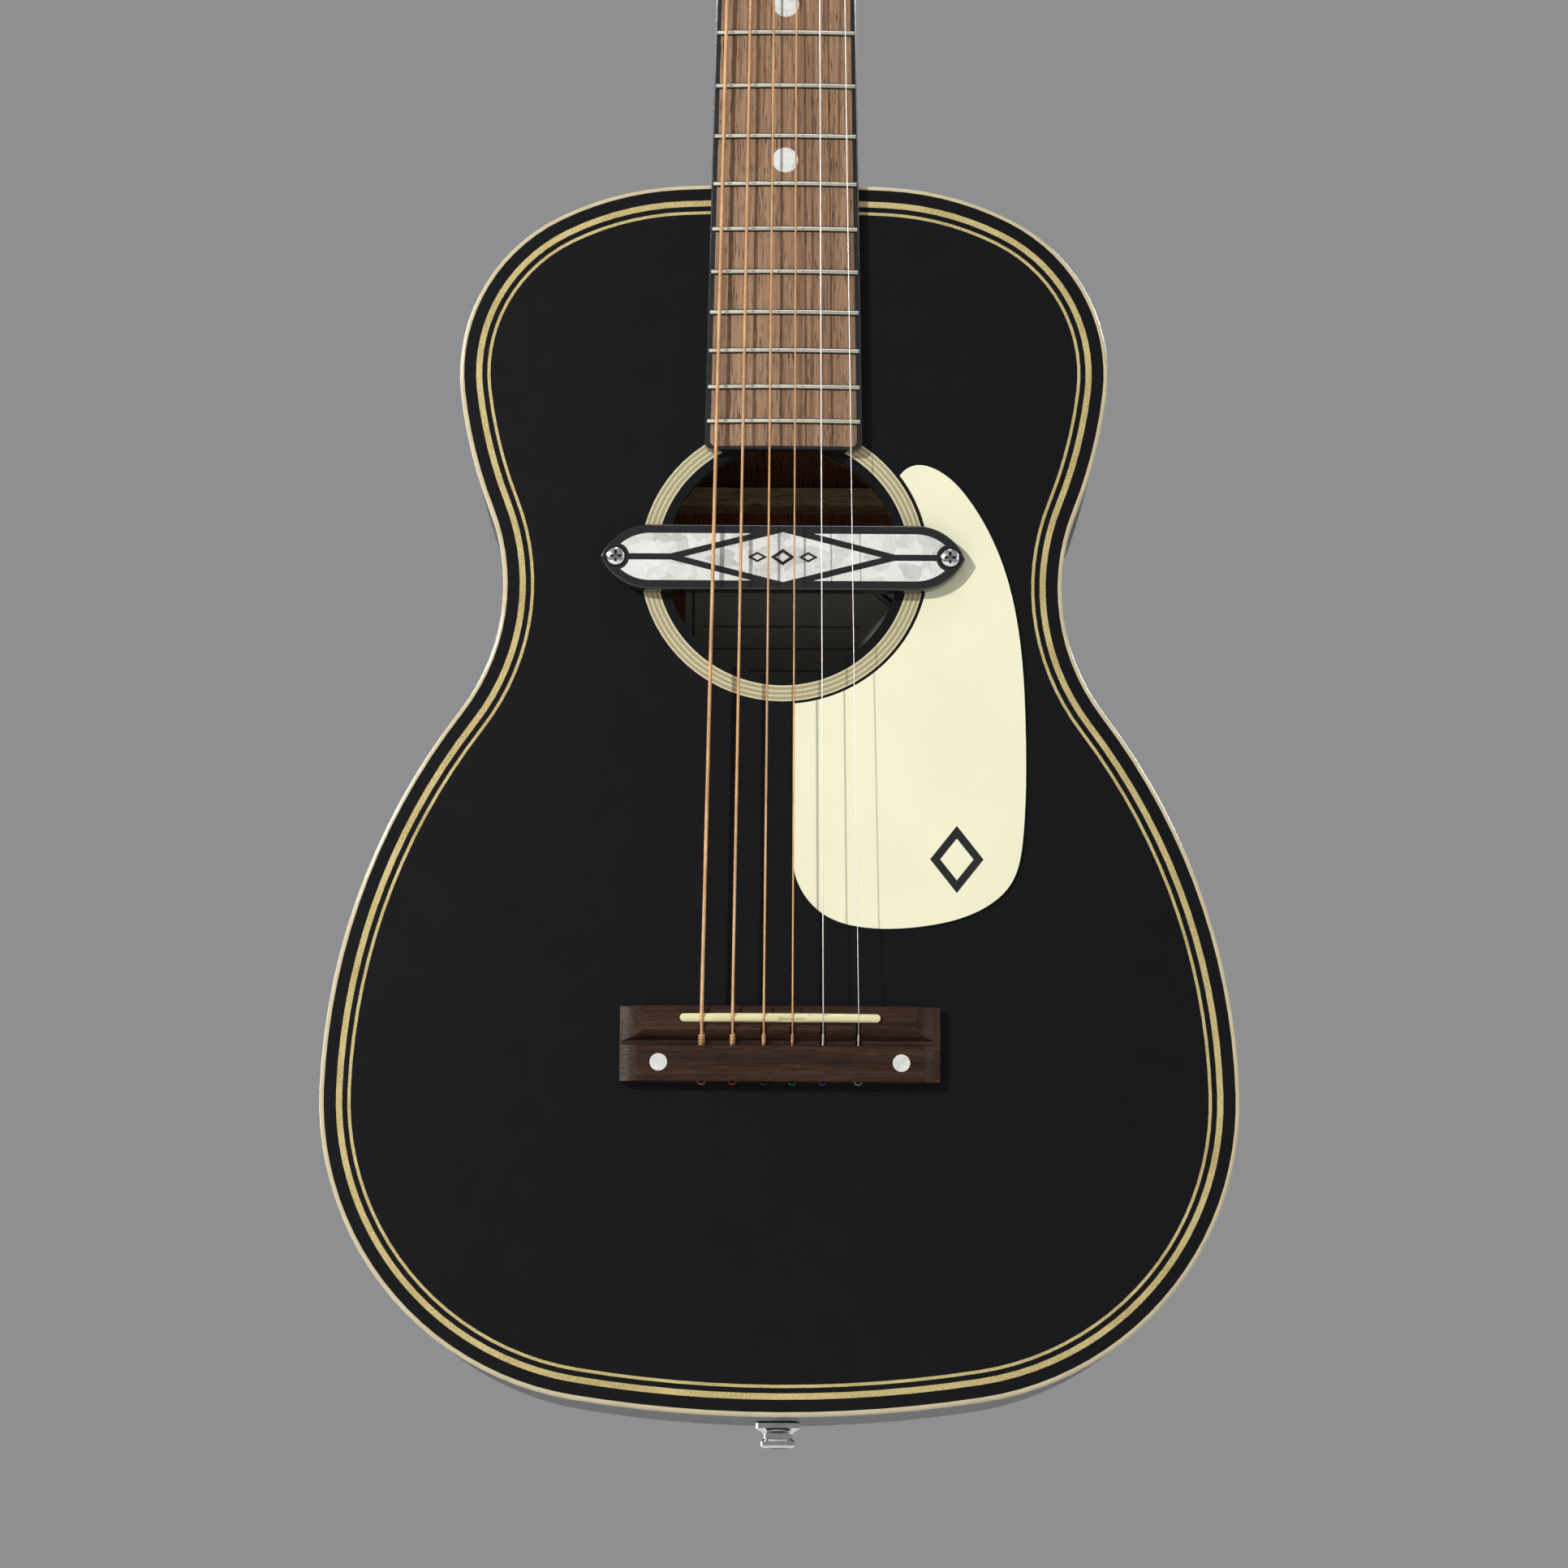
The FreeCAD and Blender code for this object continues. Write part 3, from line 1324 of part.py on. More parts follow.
def tuner_button(number):
    """Oval button with rounded rims, pressed on the key's outer end."""
    length, thick, height = BUTTON_SIZE
    oval = Part.Ellipse(
        Vector(0, 0, height / 2.0), Vector(length / 2.0, 0, 0), Vector(0, 0, 0)
    )
    face = Part.Face(Part.Wire([oval.toShape()]))
    face.translate(Vector(0, -thick / 2.0, 0))
    body = face.extrude(Vector(0, thick, 0))
    rims = [edge for edge in body.Edges if edge.BoundBox.YLength < 0.01]
    body = body.makeFillet(BUTTON_ROUND, rims)
    start = Vector(-length / 2.0 - 1.5, 0, 0)
    stem = Part.makeCylinder(2.9, 4.5, start, Vector(1, 0, 0))
    socket = Part.makeCylinder(SHAFT_RADIUS, 10.5, start, Vector(1, 0, 0))
    body = body.fuse(stem).cut(socket)
    reach = POST_INSET + BUTTON_GAP + length / 2.0
    body.translate(Vector(reach, WORM_B, worm_side(number) * CENTRE_DISTANCE))
    return place_tuner(body, number)


def wheel():
    """Worm wheel about +Y with straight gaps; one tooth points along +Z."""
    tip = WHEEL_PITCH_RADIUS + 0.5
    root = WHEEL_PITCH_RADIUS - 0.85
    blank = Part.makeCylinder(tip, WHEEL_THICK, Vector(0, WHEEL_B[0], 0), Vector(0, 1, 0))
    gap_root = 0.62
    gap_tip = 1.02
    for i in range(WHEEL_TEETH):
        corners = [
            Vector(-gap_root, WHEEL_B[0] - 1, root), Vector(gap_root, WHEEL_B[0] - 1, root),
            Vector(gap_tip, WHEEL_B[0] - 1, tip + 0.6), Vector(-gap_tip, WHEEL_B[0] - 1, tip + 0.6),
        ]
        gap = Part.Face(Part.makePolygon(corners + [corners[0]])).extrude(
            Vector(0, WHEEL_THICK + 2, 0)
        )
        gap.rotate(Vector(0, 0, 0), Vector(0, 1, 0), (i + 0.5) * 360.0 / WHEEL_TEETH)
        blank = blank.cut(gap)
    return blank


POST_FRONT = -14.0


def tuner_post(number):
    """String post with its worm wheel and the slotted screw that holds the wheel."""
    back = WHEEL_B[1]
    stem = Part.makeCylinder(
        POST_RADIUS, back - POST_FRONT, Vector(0, POST_FRONT, 0), Vector(0, 1, 0)
    )
    cap_edges = [e for e in stem.Edges if abs(e.BoundBox.YMax - POST_FRONT) < 0.01]
    stem = stem.makeFillet(0.6, [e for e in cap_edges if e.BoundBox.XLength > 1])
    eye = Part.makeCylinder(0.9, 10.0, Vector(0, POST_FRONT + 3.0, -5), UP)
    slot = block(-0.6, 0.6, POST_FRONT - 1, POST_FRONT + 1.6, -5, 5)
    screw = Part.makeCylinder(2.4, 1.3, Vector(0, back, 0), Vector(0, 1, 0))
    screw = screw.cut(block(-3, 3, back + 0.6, back + 2, -0.4, 0.4))
    post = fuse_all([stem.cut(eye).cut(slot), wheel(), screw])
    return place_tuner(post, number)


def bushing(number):
    """Pressed ferrule that guides the post at the face of the head."""
    points = [
        Vector(r, b, 0) for r, b in (
            (POST_RADIUS + RUN_GAP, -1.6), (4.4, -1.6), (6.0, -0.9), (6.0, 0.0),
            (4.6, 0.0), (4.6, 6.0), (POST_RADIUS + RUN_GAP, 6.0),
        )
    ]
    return place_tuner(spin(points, Vector(0, 0, 0), Vector(0, 1, 0)), number)


def tuner_bushings():
    return Part.makeCompound([bushing(number) for number in range(1, 7)])


PLATE_SPAN = (POST_PLACES[0] - 17.0, POST_PLACES[-1] + 17.0)
SCREW_PLACES = (POST_PLACES[0] - 13.5, POST_PLACES[0] + 16.0, POST_PLACES[1] + 16.0,
                POST_PLACES[-1] + 13.5)


def side_frame(side):
    """Frame of one plate: the middle post's tuner frame."""
    return tuner_frame(2 if side > 0 else 5)


def plate_z(side, a):
    """Local Z of a place a on the head, in a plate's frame."""
    return (a - POST_PLACES[1]) * side / math.cos(math.radians(SIDE_TILT))


def tuner_plate(side):
    """Strip with three posts through it and two bent ears round each worm."""
    z0, z1 = sorted((plate_z(side, PLATE_SPAN[0]), plate_z(side, PLATE_SPAN[1])))
    b0 = HEAD_THICK
    strip = block(-8.4, 8.2, b0, b0 + PLATE_THICK, z0, z1)
    strip = strip.makeFillet(3.0, [e for e in strip.Edges if e.BoundBox.YLength > 0.9
                                   and e.BoundBox.XLength < 0.01 and e.BoundBox.ZLength < 0.01])
    pieces = [strip]
    cuts = []
    for place in POST_PLACES:
        z = plate_z(side, place)
        worm_z = z - side * CENTRE_DISTANCE
        for x in (-EAR_OFFSET, EAR_OFFSET):
            ear = block(x - 0.6, x + 0.6, b0, WORM_B + 2.8, worm_z - 3.0, worm_z + 3.0)
            pieces.append(ear)
        cuts.append(Part.makeCylinder(
            SHAFT_RADIUS + RUN_GAP, 30.0, Vector(-15, WORM_B, worm_z), Vector(1, 0, 0)
        ))
        cuts.append(Part.makeCylinder(
            POST_RADIUS + 0.4, 6.0, Vector(0, b0 - 2, z), Vector(0, 1, 0)
        ))
    body = fuse_all(pieces)
    for cut in cuts:
        body = body.cut(cut)
    for place in SCREW_PLACES:
        z = plate_z(side, place)
        body = body.cut(Part.makeCylinder(1.3, 6, Vector(0, b0 - 2, z), Vector(0, 1, 0)))
    body.Placement = side_frame(side).multiply(body.Placement)
    return body


def tuner_plates():
    return Part.makeCompound([tuner_plate(1), tuner_plate(-1)])


def tuner_screws():
    """Round-head wood screws that hold both plates."""
    screws = []
    for side in (1, -1):
        for place in SCREW_PLACES:
            z = plate_z(side, place)
            top = HEAD_THICK + PLATE_THICK
            points = [
                Vector(r, b, z) for r, b in (
                    (0.0, top + 1.5), (1.2, top + 1.3), (2.1, top + 0.7), (2.4, top),
                    (1.2, top), (1.2, top - 9.0), (0.0, top - 11.0),
                )
            ]
            screw = spin(points, Vector(0, 0, z), Vector(0, 1, 0))
            recess = cross_slot(Vector(0, top + 1.5, z), Vector(0, 1, 0), 1.7, 0.9)
            screw = screw.cut(recess)
            screw.Placement = side_frame(side).multiply(screw.Placement)
            screws.append(screw)
    return Part.makeCompound(screws)


def inlay_dots():
    fret_dots = [dot(number) for number in DOT_FRETS]
    return Part.makeCompound(fret_dots + [bridge_dot(1), bridge_dot(-1)])


# ---------------------------------------------------------------- the whole guitar


def drilled_soundboard():
    return clearance_for_screws(soundboard())


def drilled_pickguard():
    return clearance_for_screws(pickguard())


def drilled_neck():
    wood = neck()
    for screw in tuner_screws().Solids:
        wood = wood.cut(screw)
    return wood


def all_parts():
    parts = {
        "soundboard": drilled_soundboard, "back_plate": back_plate,
        "side_bass": lambda: side(-1), "side_treble": lambda: side(1),
        "neck_block": neck_block, "tail_block": tail_block, "linings": linings,
        "top_braces": top_braces, "back_braces": back_braces, "label": label,
        "top_binding": top_binding, "back_binding": back_binding,
        "top_purfling": top_purfling, "rosette": rosette_ring, "pickguard": drilled_pickguard,
        "neck": drilled_neck, "fretboard": fretboard, "fretboard_edging": fretboard_edging,
        "frets": frets, "inlay_dots": inlay_dots, "nut": nut, "truss_rod": truss_rod,
        "truss_rod_cover": truss_rod_cover, "bridge": bridge, "saddle": saddle,
        "pickup_cover": pickup_cover, "pickup_inlay": pickup_inlay,
        "pickup_coil": pickup_coil, "pickup_clamps": pickup_clamps,
        "pickup_screws": pickup_screws, "pickup_lead": pickup_lead,
        "endpin_jack": endpin_jack, "strap_button": strap_button,
        "tuner_plates": tuner_plates, "tuner_bushings": tuner_bushings,
        "tuner_screws": tuner_screws,
    }
    for number in range(1, 7):
        parts["tuner_key_%d" % number] = lambda n=number: tuner_key(n)
        parts["tuner_button_%d" % number] = lambda n=number: tuner_button(n)
        parts["tuner_post_%d" % number] = lambda n=number: tuner_post(n)
        parts["string_%d" % number] = lambda n=number: string(n)
    return parts


def main():
    os.makedirs("parts", exist_ok=True)
    for name, build in all_parts().items():
        shape = build()
        if not shape.isValid():
            print("check the shape of", name)
        shape.exportStep("parts/%s.step" % name)
        print("%-18s %3d solids %10.1f mm3" % (name, len(shape.Solids), shape.Volume))


main()
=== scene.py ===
import json
import math
from collections import namedtuple

import bmesh
import bpy
from mathutils import Matrix, Vector


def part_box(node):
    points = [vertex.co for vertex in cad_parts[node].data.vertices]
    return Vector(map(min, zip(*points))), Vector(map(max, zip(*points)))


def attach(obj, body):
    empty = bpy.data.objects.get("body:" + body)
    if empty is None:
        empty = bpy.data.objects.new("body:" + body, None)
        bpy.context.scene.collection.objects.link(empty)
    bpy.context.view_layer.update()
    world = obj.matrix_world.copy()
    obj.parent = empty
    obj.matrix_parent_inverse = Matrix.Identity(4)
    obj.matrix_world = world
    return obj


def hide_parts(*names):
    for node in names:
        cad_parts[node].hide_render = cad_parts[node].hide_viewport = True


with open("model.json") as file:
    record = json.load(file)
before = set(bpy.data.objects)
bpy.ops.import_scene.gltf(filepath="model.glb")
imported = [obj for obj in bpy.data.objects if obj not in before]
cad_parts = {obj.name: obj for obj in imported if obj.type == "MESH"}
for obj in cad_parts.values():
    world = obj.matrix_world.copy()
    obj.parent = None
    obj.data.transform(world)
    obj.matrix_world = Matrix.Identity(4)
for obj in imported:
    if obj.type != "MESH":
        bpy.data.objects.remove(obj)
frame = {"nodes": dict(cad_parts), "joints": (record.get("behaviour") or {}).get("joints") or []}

MM = 0.001
NODES = frame["nodes"]
JOINTS = {joint["name"]: joint for joint in frame["joints"]}
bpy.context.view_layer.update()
# Strings and their tuners are numbered from the treble side.
NUMBERS = range(1, 7)

# ------------------------------------------------------------------ places taken from the frame


def corners(node):
    """Lowest and highest corner of a node's box, in metres."""
    low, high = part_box(node)
    return Vector(low), Vector(high)


TOP_Y = corners("soundboard")[0].y
ROSETTE_LOW, ROSETTE_HIGH = corners("rosette")
HOLE = Vector((0.0, TOP_Y, (ROSETTE_LOW.z + ROSETTE_HIGH.z) / 2))
NUT_LOW = corners("nut")[0]
SADDLE_LOW, SADDLE_HIGH = corners("saddle")
BRIDGE_LOW = corners("bridge")[0]


def at(x, s, h):
    """Point in metres from mm across, mm along the strings from the nut, mm above the top."""
    return Vector((x * MM, TOP_Y - h * MM, NUT_LOW.z - s * MM))


# ------------------------------------------------------------------ node material helpers


class Shader:
    """A small builder for one material's node tree."""

    def __init__(self, name):
        self.material = bpy.data.materials.new(name)
        self.material.use_nodes = True
        self.tree = self.material.node_tree
        self.bsdf = self.tree.nodes["Principled BSDF"]
        self.place = self.tree.nodes.new("ShaderNodeTexCoord").outputs["Object"]

    def set(self, **values):
        """Fix inputs of the Principled shader; an underscore stands for a space."""
        for name, value in values.items():
            socket = self.bsdf.inputs[name.replace("_", " ")]
            if isinstance(value, tuple) and len(value) == 3:
                value = value + (1.0,)
            socket.default_value = value
        return self

    def node(self, kind, links=None, **settings):
        """A new node with its inputs linked or fixed, and its own settings."""
        made = self.tree.nodes.new(kind)
        for name, value in settings.items():
            setattr(made, name, value)
        for name, value in (links or {}).items():
            socket = made.inputs[name]
            if isinstance(value, bpy.types.NodeSocket):
                self.tree.links.new(value, socket)
            else:
                socket.default_value = value
        return made

    def link(self, output, socket):
        """Feed an output to an input of the Principled shader."""
        self.tree.links.new(output, self.bsdf.inputs[socket])
        return self

    def stretched(self, scale, turn=(0.0, 0.0, 0.0)):
        """Object places scaled and turned, so that a texture stretches."""
        return self.node(
            "ShaderNodeMapping", {"Vector": self.place, "Scale": scale, "Rotation": turn}
        ).outputs["Vector"]

    def noise(self, scale, detail=3.0, rough=0.5, place=None):
        return self.node("ShaderNodeTexNoise", {
            "Vector": place or self.place, "Scale": scale, "Detail": detail, "Roughness": rough,
        }).outputs["Fac"]

    def ramp(self, factor, stops, mode="LINEAR"):
        """Colours along a factor; a single number stands for a grey."""
        made = self.node("ShaderNodeValToRGB", {"Fac": factor})
        band = made.color_ramp
        band.interpolation = mode
        while len(band.elements) < len(stops):
            band.elements.new(0.5)
        for element, (place, colour) in zip(band.elements, stops):
            element.position = place
            grey = isinstance(colour, (int, float))
            element.color = (colour,) * 3 + (1.0,) if grey else tuple(colour) + (1.0,)
        return made.outputs["Color"]

    def math(self, kind, a, b=0.0):
        return self.node("ShaderNodeMath", {0: a, 1: b}, operation=kind).outputs["Value"]

    def weighted(self, *pairs):
        """Sum of values, each times its weight."""
        total = None
        for value, weight in pairs:
            part = self.math("MULTIPLY", value, weight)
            total = part if total is None else self.math("ADD", total, part)
        return total

    def spread(self, factor, low, high, from_low=0.0, from_high=1.0):
        """Map a factor from one range to another, held at the ends."""
        return self.node("ShaderNodeMapRange", {
            "Value": factor, "From Min": from_low, "From Max": from_high,
            "To Min": low, "To Max": high,
        }).outputs["Result"]

    def mix(self, factor, a, b):
        """Colour a at factor 0 and colour b at factor 1."""
        made = self.node("ShaderNodeMix", data_type="RGBA")
        for socket, value in ((made.inputs[0], factor), (made.inputs[6], a), (made.inputs[7], b)):
            if isinstance(value, bpy.types.NodeSocket):
                self.tree.links.new(value, socket)
            elif isinstance(value, tuple):
                socket.default_value = value + (1.0,)
            else:
                socket.default_value = value
        return made.outputs[2]

    def split(self):
        """The x, y and z of the object place."""
        parts = self.node("ShaderNodeSeparateXYZ", {"Vector": self.place})
        return parts.outputs["X"], parts.outputs["Y"], parts.outputs["Z"]

    def vector_math(self, kind, links):
        return self.node("ShaderNodeVectorMath", links, operation=kind)

    def distance_to(self, point):
        """Distance in metres from the line through point that runs from front to back."""
        moved = self.vector_math("SUBTRACT", {0: self.place, 1: point}).outputs["Vector"]
        flat = self.vector_math("MULTIPLY", {0: moved, 1: (1, 0, 1)}).outputs["Vector"]
        return self.vector_math("LENGTH", {0: flat}).outputs["Value"]

    def bump(self, height, depth):
        """Depth is the height range in metres."""
        made = self.node("ShaderNodeBump", {"Height": height, "Distance": depth, "Strength": 1.0})
        self.link(made.outputs["Normal"], "Normal")
        return self


def along_grain(sh, along, squeeze):
    """Places squeezed along the grain's axis, so that a texture runs long that way."""
    return sh.stretched({"X": (squeeze, 1.0, 1.0), "Z": (1.0, 1.0, squeeze)}[along])


def wood_grain(sh, tones, along="Z"):
    """Long streaks and open pores along one axis; gives colour and a height for the bump."""
    dark, mid, light = tones
    place = along_grain(sh, along, 0.05)
    broad = sh.noise(90.0, 4.0, 0.6, place)
    streak = sh.noise(420.0, 5.0, 0.65, place)
    pores = sh.noise(1500.0, 2.0, 0.5, along_grain(sh, along, 0.10))
    tone = sh.weighted((broad, 0.6), (streak, 0.4))
    colour = sh.ramp(tone, [(0.34, dark), (0.50, mid), (0.66, light)])
    pits = sh.ramp(pores, [(0.36, 0.0), (0.44, 1.0)])
    colour = sh.mix(pits, tuple(c * 0.42 for c in dark), colour)
    return colour, sh.weighted((pits, 0.7), (streak, 0.3))


# ------------------------------------------------------------------ materials

# Dark, middle and light tones of the bare woods.
TOP_SPRUCE = ((0.42, 0.27, 0.14), (0.55, 0.37, 0.20), (0.66, 0.47, 0.28))
BRACE_SPRUCE = ((0.40, 0.27, 0.14), (0.54, 0.38, 0.21), (0.66, 0.49, 0.29))
BACK_WOOD = ((0.16, 0.055, 0.026), (0.23, 0.085, 0.040), (0.30, 0.12, 0.06))
BLOCK_WOOD = ((0.17, 0.065, 0.03), (0.26, 0.11, 0.055), (0.34, 0.16, 0.085))
# The soundhole's wall is black this far in from the top.
BLACKED_WALL = 2.8 * MM
BACK_THICK = 3.0 * MM
BACK_LACQUER_DEPTH = 2.2 * MM
PICKUP_SCREW_X = 60.5 * MM
# A screw head's height falls by this times the square of the distance from its centre.
SCREW_DOME = 70.0
# Reach of the ambient occlusion that paints shade into the screw heads' cross recess.
RECESS_REACH = 1.2 * MM
ROSETTE_EDGES = (46.0 * MM, 51.8 * MM)
ROSETTE_RINGS = 4
# Width of a cream ring as a share of the rosette's width.
RING_SHARE = 0.62 / 5.8
LABEL_MARGIN = 3.0 * MM
LABEL_BORDER_HALF = 0.5 * MM
LABEL_ROWS = 5
LABEL_FIRST_ROW = 13.0 * MM
LABEL_ROW_PITCH = 8.5 * MM
LABEL_ROW_REACH = 30.0 * MM
LABEL_ROW_HALF = 0.28 * MM


def lacquer_black(name, inner=None):
    """Satin black finish over faint grain; inner gives a mask and colour for bare faces."""
    sh = Shader(name)
    haze = sh.noise(9.0, 4.0, 0.55)
    colour = sh.ramp(haze, [(0.3, (0.0031, 0.0033, 0.0044)), (0.7, (0.0034, 0.0036, 0.0047))])
    peel = sh.noise(850.0, 2.0, 0.5)
    grain = sh.noise(260.0, 3.0, 0.5, sh.stretched((1.0, 1.0, 0.04)))
    rough = sh.spread(sh.noise(90.0, 4.0, 0.6), 0.335, 0.365, 0.3, 0.7)
    height = sh.weighted((peel, 0.6), (grain, 0.4))
    if inner:
        mask, inside_colour = inner(sh)
        colour = sh.mix(mask, colour, inside_colour)
        rough = sh.math("ADD", rough, sh.math("MULTIPLY", mask, 0.35))
    sh.link(colour, "Base Color").link(rough, "Roughness")
    sh.set(Specular_IOR_Level=0.18)
    return sh.bump(height, 0.00004).material


def soundboard_inside(sh):
    """Bare spruce on the underside; the wall of the soundhole is blacked."""
    mask = sh.math("GREATER_THAN", sh.split()[1], TOP_Y + BLACKED_WALL)
    return mask, wood_grain(sh, TOP_SPRUCE)[0]


def back_inside(sh):
    """Bare reddish wood on the inner face of the sloping back."""
    low, high = corners("back_plate")
    slope = (low.y + BACK_THICK - high.y) / (high.z - low.z)
    y, z = sh.split()[1:]
    outer = sh.math("ADD", sh.math("MULTIPLY", z, slope), high.y)
    mask = sh.math("GREATER_THAN", sh.math("SUBTRACT", outer, y), BACK_LACQUER_DEPTH)
    return mask, wood_grain(sh, BACK_WOOD)[0]


def bare_wood(name, tones, along="Z"):
    sh = Shader(name)
    colour, height = wood_grain(sh, tones, along)
    sh.link(colour, "Base Color")
    sh.link(sh.spread(height, 0.55, 0.75), "Roughness")
    return sh.bump(height, 0.0001).material


def walnut_board(name):
    """Fretboard wood: close straight lines of early and late wood, with fine open pores."""
    sh = Shader(name)
    wander = sh.noise(16.0, 2.0, 0.5, sh.stretched((1.0, 1.0, 0.25)))
    rings = sh.noise(420.0, 6.0, 0.75, sh.stretched((1.0, 1.0, 0.012)))
    fibre = sh.noise(1500.0, 3.0, 0.6, sh.stretched((1.0, 1.0, 0.03)))
    pores = sh.noise(2300.0, 2.0, 0.5, sh.stretched((1.0, 1.0, 0.055)))
    tone = sh.weighted((rings, 0.62), (fibre, 0.24), (wander, 0.14))
    colour = sh.ramp(tone, [
        (0.39, (0.105, 0.056, 0.029)), (0.47, (0.215, 0.120, 0.065)),
        (0.53, (0.275, 0.160, 0.090)), (0.61, (0.340, 0.208, 0.122)),
    ])
    pits = sh.ramp(pores, [(0.33, 0.0), (0.42, 1.0)])
    colour = sh.mix(pits, (0.065, 0.032, 0.017), colour)
    sh.link(colour, "Base Color")
    sh.link(sh.spread(fibre, 0.50, 0.66, 0.3, 0.7), "Roughness")
    sh.set(Specular_IOR_Level=0.32)
    return sh.bump(sh.weighted((pits, 0.6), (fibre, 0.4)), 0.0001).material


def walnut_bridge(name):
    """Bridge wood: dark brown, grain across the guitar, sanded and oiled to a low sheen."""
    sh = Shader(name)
    rings = sh.noise(260.0, 5.0, 0.68, sh.stretched((0.03, 1.0, 1.0)))
    fibre = sh.noise(1300.0, 3.0, 0.6, sh.stretched((0.06, 1.0, 1.0)))
    pores = sh.noise(2100.0, 2.0, 0.5, sh.stretched((0.09, 1.0, 1.0)))
    tone = sh.weighted((rings, 0.65), (fibre, 0.35))
    colour = sh.ramp(tone, [
        (0.38, (0.0150, 0.0052, 0.0022)), (0.50, (0.0290, 0.0112, 0.0052)),
        (0.62, (0.0480, 0.0215, 0.0110)),
    ])
    pits = sh.ramp(pores, [(0.32, 0.0), (0.42, 1.0)])
    colour = sh.mix(pits, (0.0080, 0.0040, 0.0025), colour)
    sh.link(colour, "Base Color")
    sh.link(sh.spread(fibre, 0.28, 0.42, 0.3, 0.7), "Roughness")
    sh.set(Specular_IOR_Level=0.26)
    return sh.bump(sh.weighted((pits, 0.6), (fibre, 0.4)), 0.00007).material


def plastic(name, colour, rough, mottle=0.06, scale=120.0, coat=0.3):
    """Moulded plastic with slight mottling, fine handling marks and a soft sheen."""
    sh = Shader(name)
    cloud = sh.noise(scale, 3.0, 0.5)
    dark = tuple(c * (1.0 - mottle) for c in colour)
    light = tuple(min(1.0, c * (1.0 + mottle)) for c in colour)
    sh.link(sh.ramp(cloud, [(0.35, dark), (0.65, light)]), "Base Color")
    marks = sh.noise(700.0, 4.0, 0.7, sh.stretched((1.0, 1.0, 0.25), (0.0, 0.5, 0.0)))
    sh.link(sh.spread(marks, rough[0], rough[1], 0.35, 0.65), "Roughness")
    sh.set(Coat_Weight=coat, Coat_Roughness=0.08)
    return sh.bump(sh.noise(900.0, 2.0), 0.00002).material


def pearloid(name):
    """Pearl plastic: long overlapping flakes that differ in brightness and gloss."""
    sh = Shader(name)
    drift = sh.node("ShaderNodeTexNoise", {"Vector": sh.place, "Scale": 120.0, "Detail": 4.0})
    small = sh.vector_math("SCALE", {0: drift.outputs["Color"], "Scale": 0.010})
    warped = sh.vector_math("ADD", {
        0: sh.stretched((0.8, 1.0, 1.0), (0.0, 0.35, 0.0)), 1: small.outputs["Vector"],
    }).outputs["Vector"]
    flakes = {"Vector": warped, "Scale": 175.0}
    cells = sh.node("ShaderNodeTexVoronoi", flakes)
    grey = sh.node("ShaderNodeRGBToBW", {"Color": cells.outputs["Color"]}).outputs["Val"]
    edge = sh.node(
        "ShaderNodeTexVoronoi", flakes, feature="DISTANCE_TO_EDGE"
    ).outputs["Distance"]
    crease = sh.ramp(edge, [(0.0, 1.0), (0.045, 0.0)])
    swirl = sh.noise(420.0, 5.0, 0.65, warped)
    tone = sh.weighted((grey, 0.5), (swirl, 0.5))
    colour = sh.ramp(tone, [
        (0.25, (0.44, 0.44, 0.41)), (0.48, (0.60, 0.60, 0.57)), (0.72, (0.70, 0.70, 0.665)),
    ])
    colour = sh.mix(sh.math("MULTIPLY", crease, 0.45), colour, (0.80, 0.80, 0.77))
    sh.link(colour, "Base Color")
    sh.link(sh.spread(tone, 0.12, 0.34), "Roughness")
    sh.set(Coat_Weight=0.35, Coat_Roughness=0.06)
    return sh.bump(crease, 0.00001).material


def metal(name, colour, rough, brushed=(1.0, 1.0, 1.0), tarnish=0.10):
    """Plated or bare metal with a little tarnish and fine scratches."""
    sh = Shader(name)
    cloud = sh.noise(140.0, 4.0, 0.6)
    dull = tuple(c * (1.0 - tarnish) for c in colour)
    sh.link(sh.ramp(cloud, [(0.35, dull), (0.6, colour)]), "Base Color")
    lines = sh.noise(1200.0, 3.0, 0.6, sh.stretched(brushed))
    sh.link(sh.spread(lines, rough[0], rough[1], 0.3, 0.7), "Roughness")
    sh.set(Metallic=1.0)
    return sh.bump(lines, 0.000015).material


def fret_wire(name):
    """Nickel silver frets: polished along the crown, with painted shade darkening both sides down
    to the board.
    """
    sh = Shader(name)
    normal = sh.node("ShaderNodeNewGeometry").outputs["Normal"]
    up = sh.node("ShaderNodeSeparateXYZ", {"Vector": normal}).outputs["Z"]
    # Painted shade: this picks out the sides of the crown, which face the head or the tail.
    flank_shade = sh.ramp(sh.math("ABSOLUTE", up), [(0.42, 0.0), (0.66, 1.0)])
    lines = sh.noise(1200.0, 3.0, 0.6, sh.stretched((0.02, 1.0, 1.0)))
    crown = sh.ramp(lines, [(0.35, (0.66, 0.64, 0.54)), (0.6, (0.74, 0.72, 0.61))])
    # The near-black colour mixed in on the sides is painted shade.
    sh.link(sh.mix(flank_shade, crown, (0.060, 0.052, 0.040)), "Base Color")
    sh.link(sh.spread(lines, 0.36, 0.44, 0.3, 0.7), "Roughness")
    sh.set(Metallic=1.0)
    return sh.bump(lines, 0.000015).material


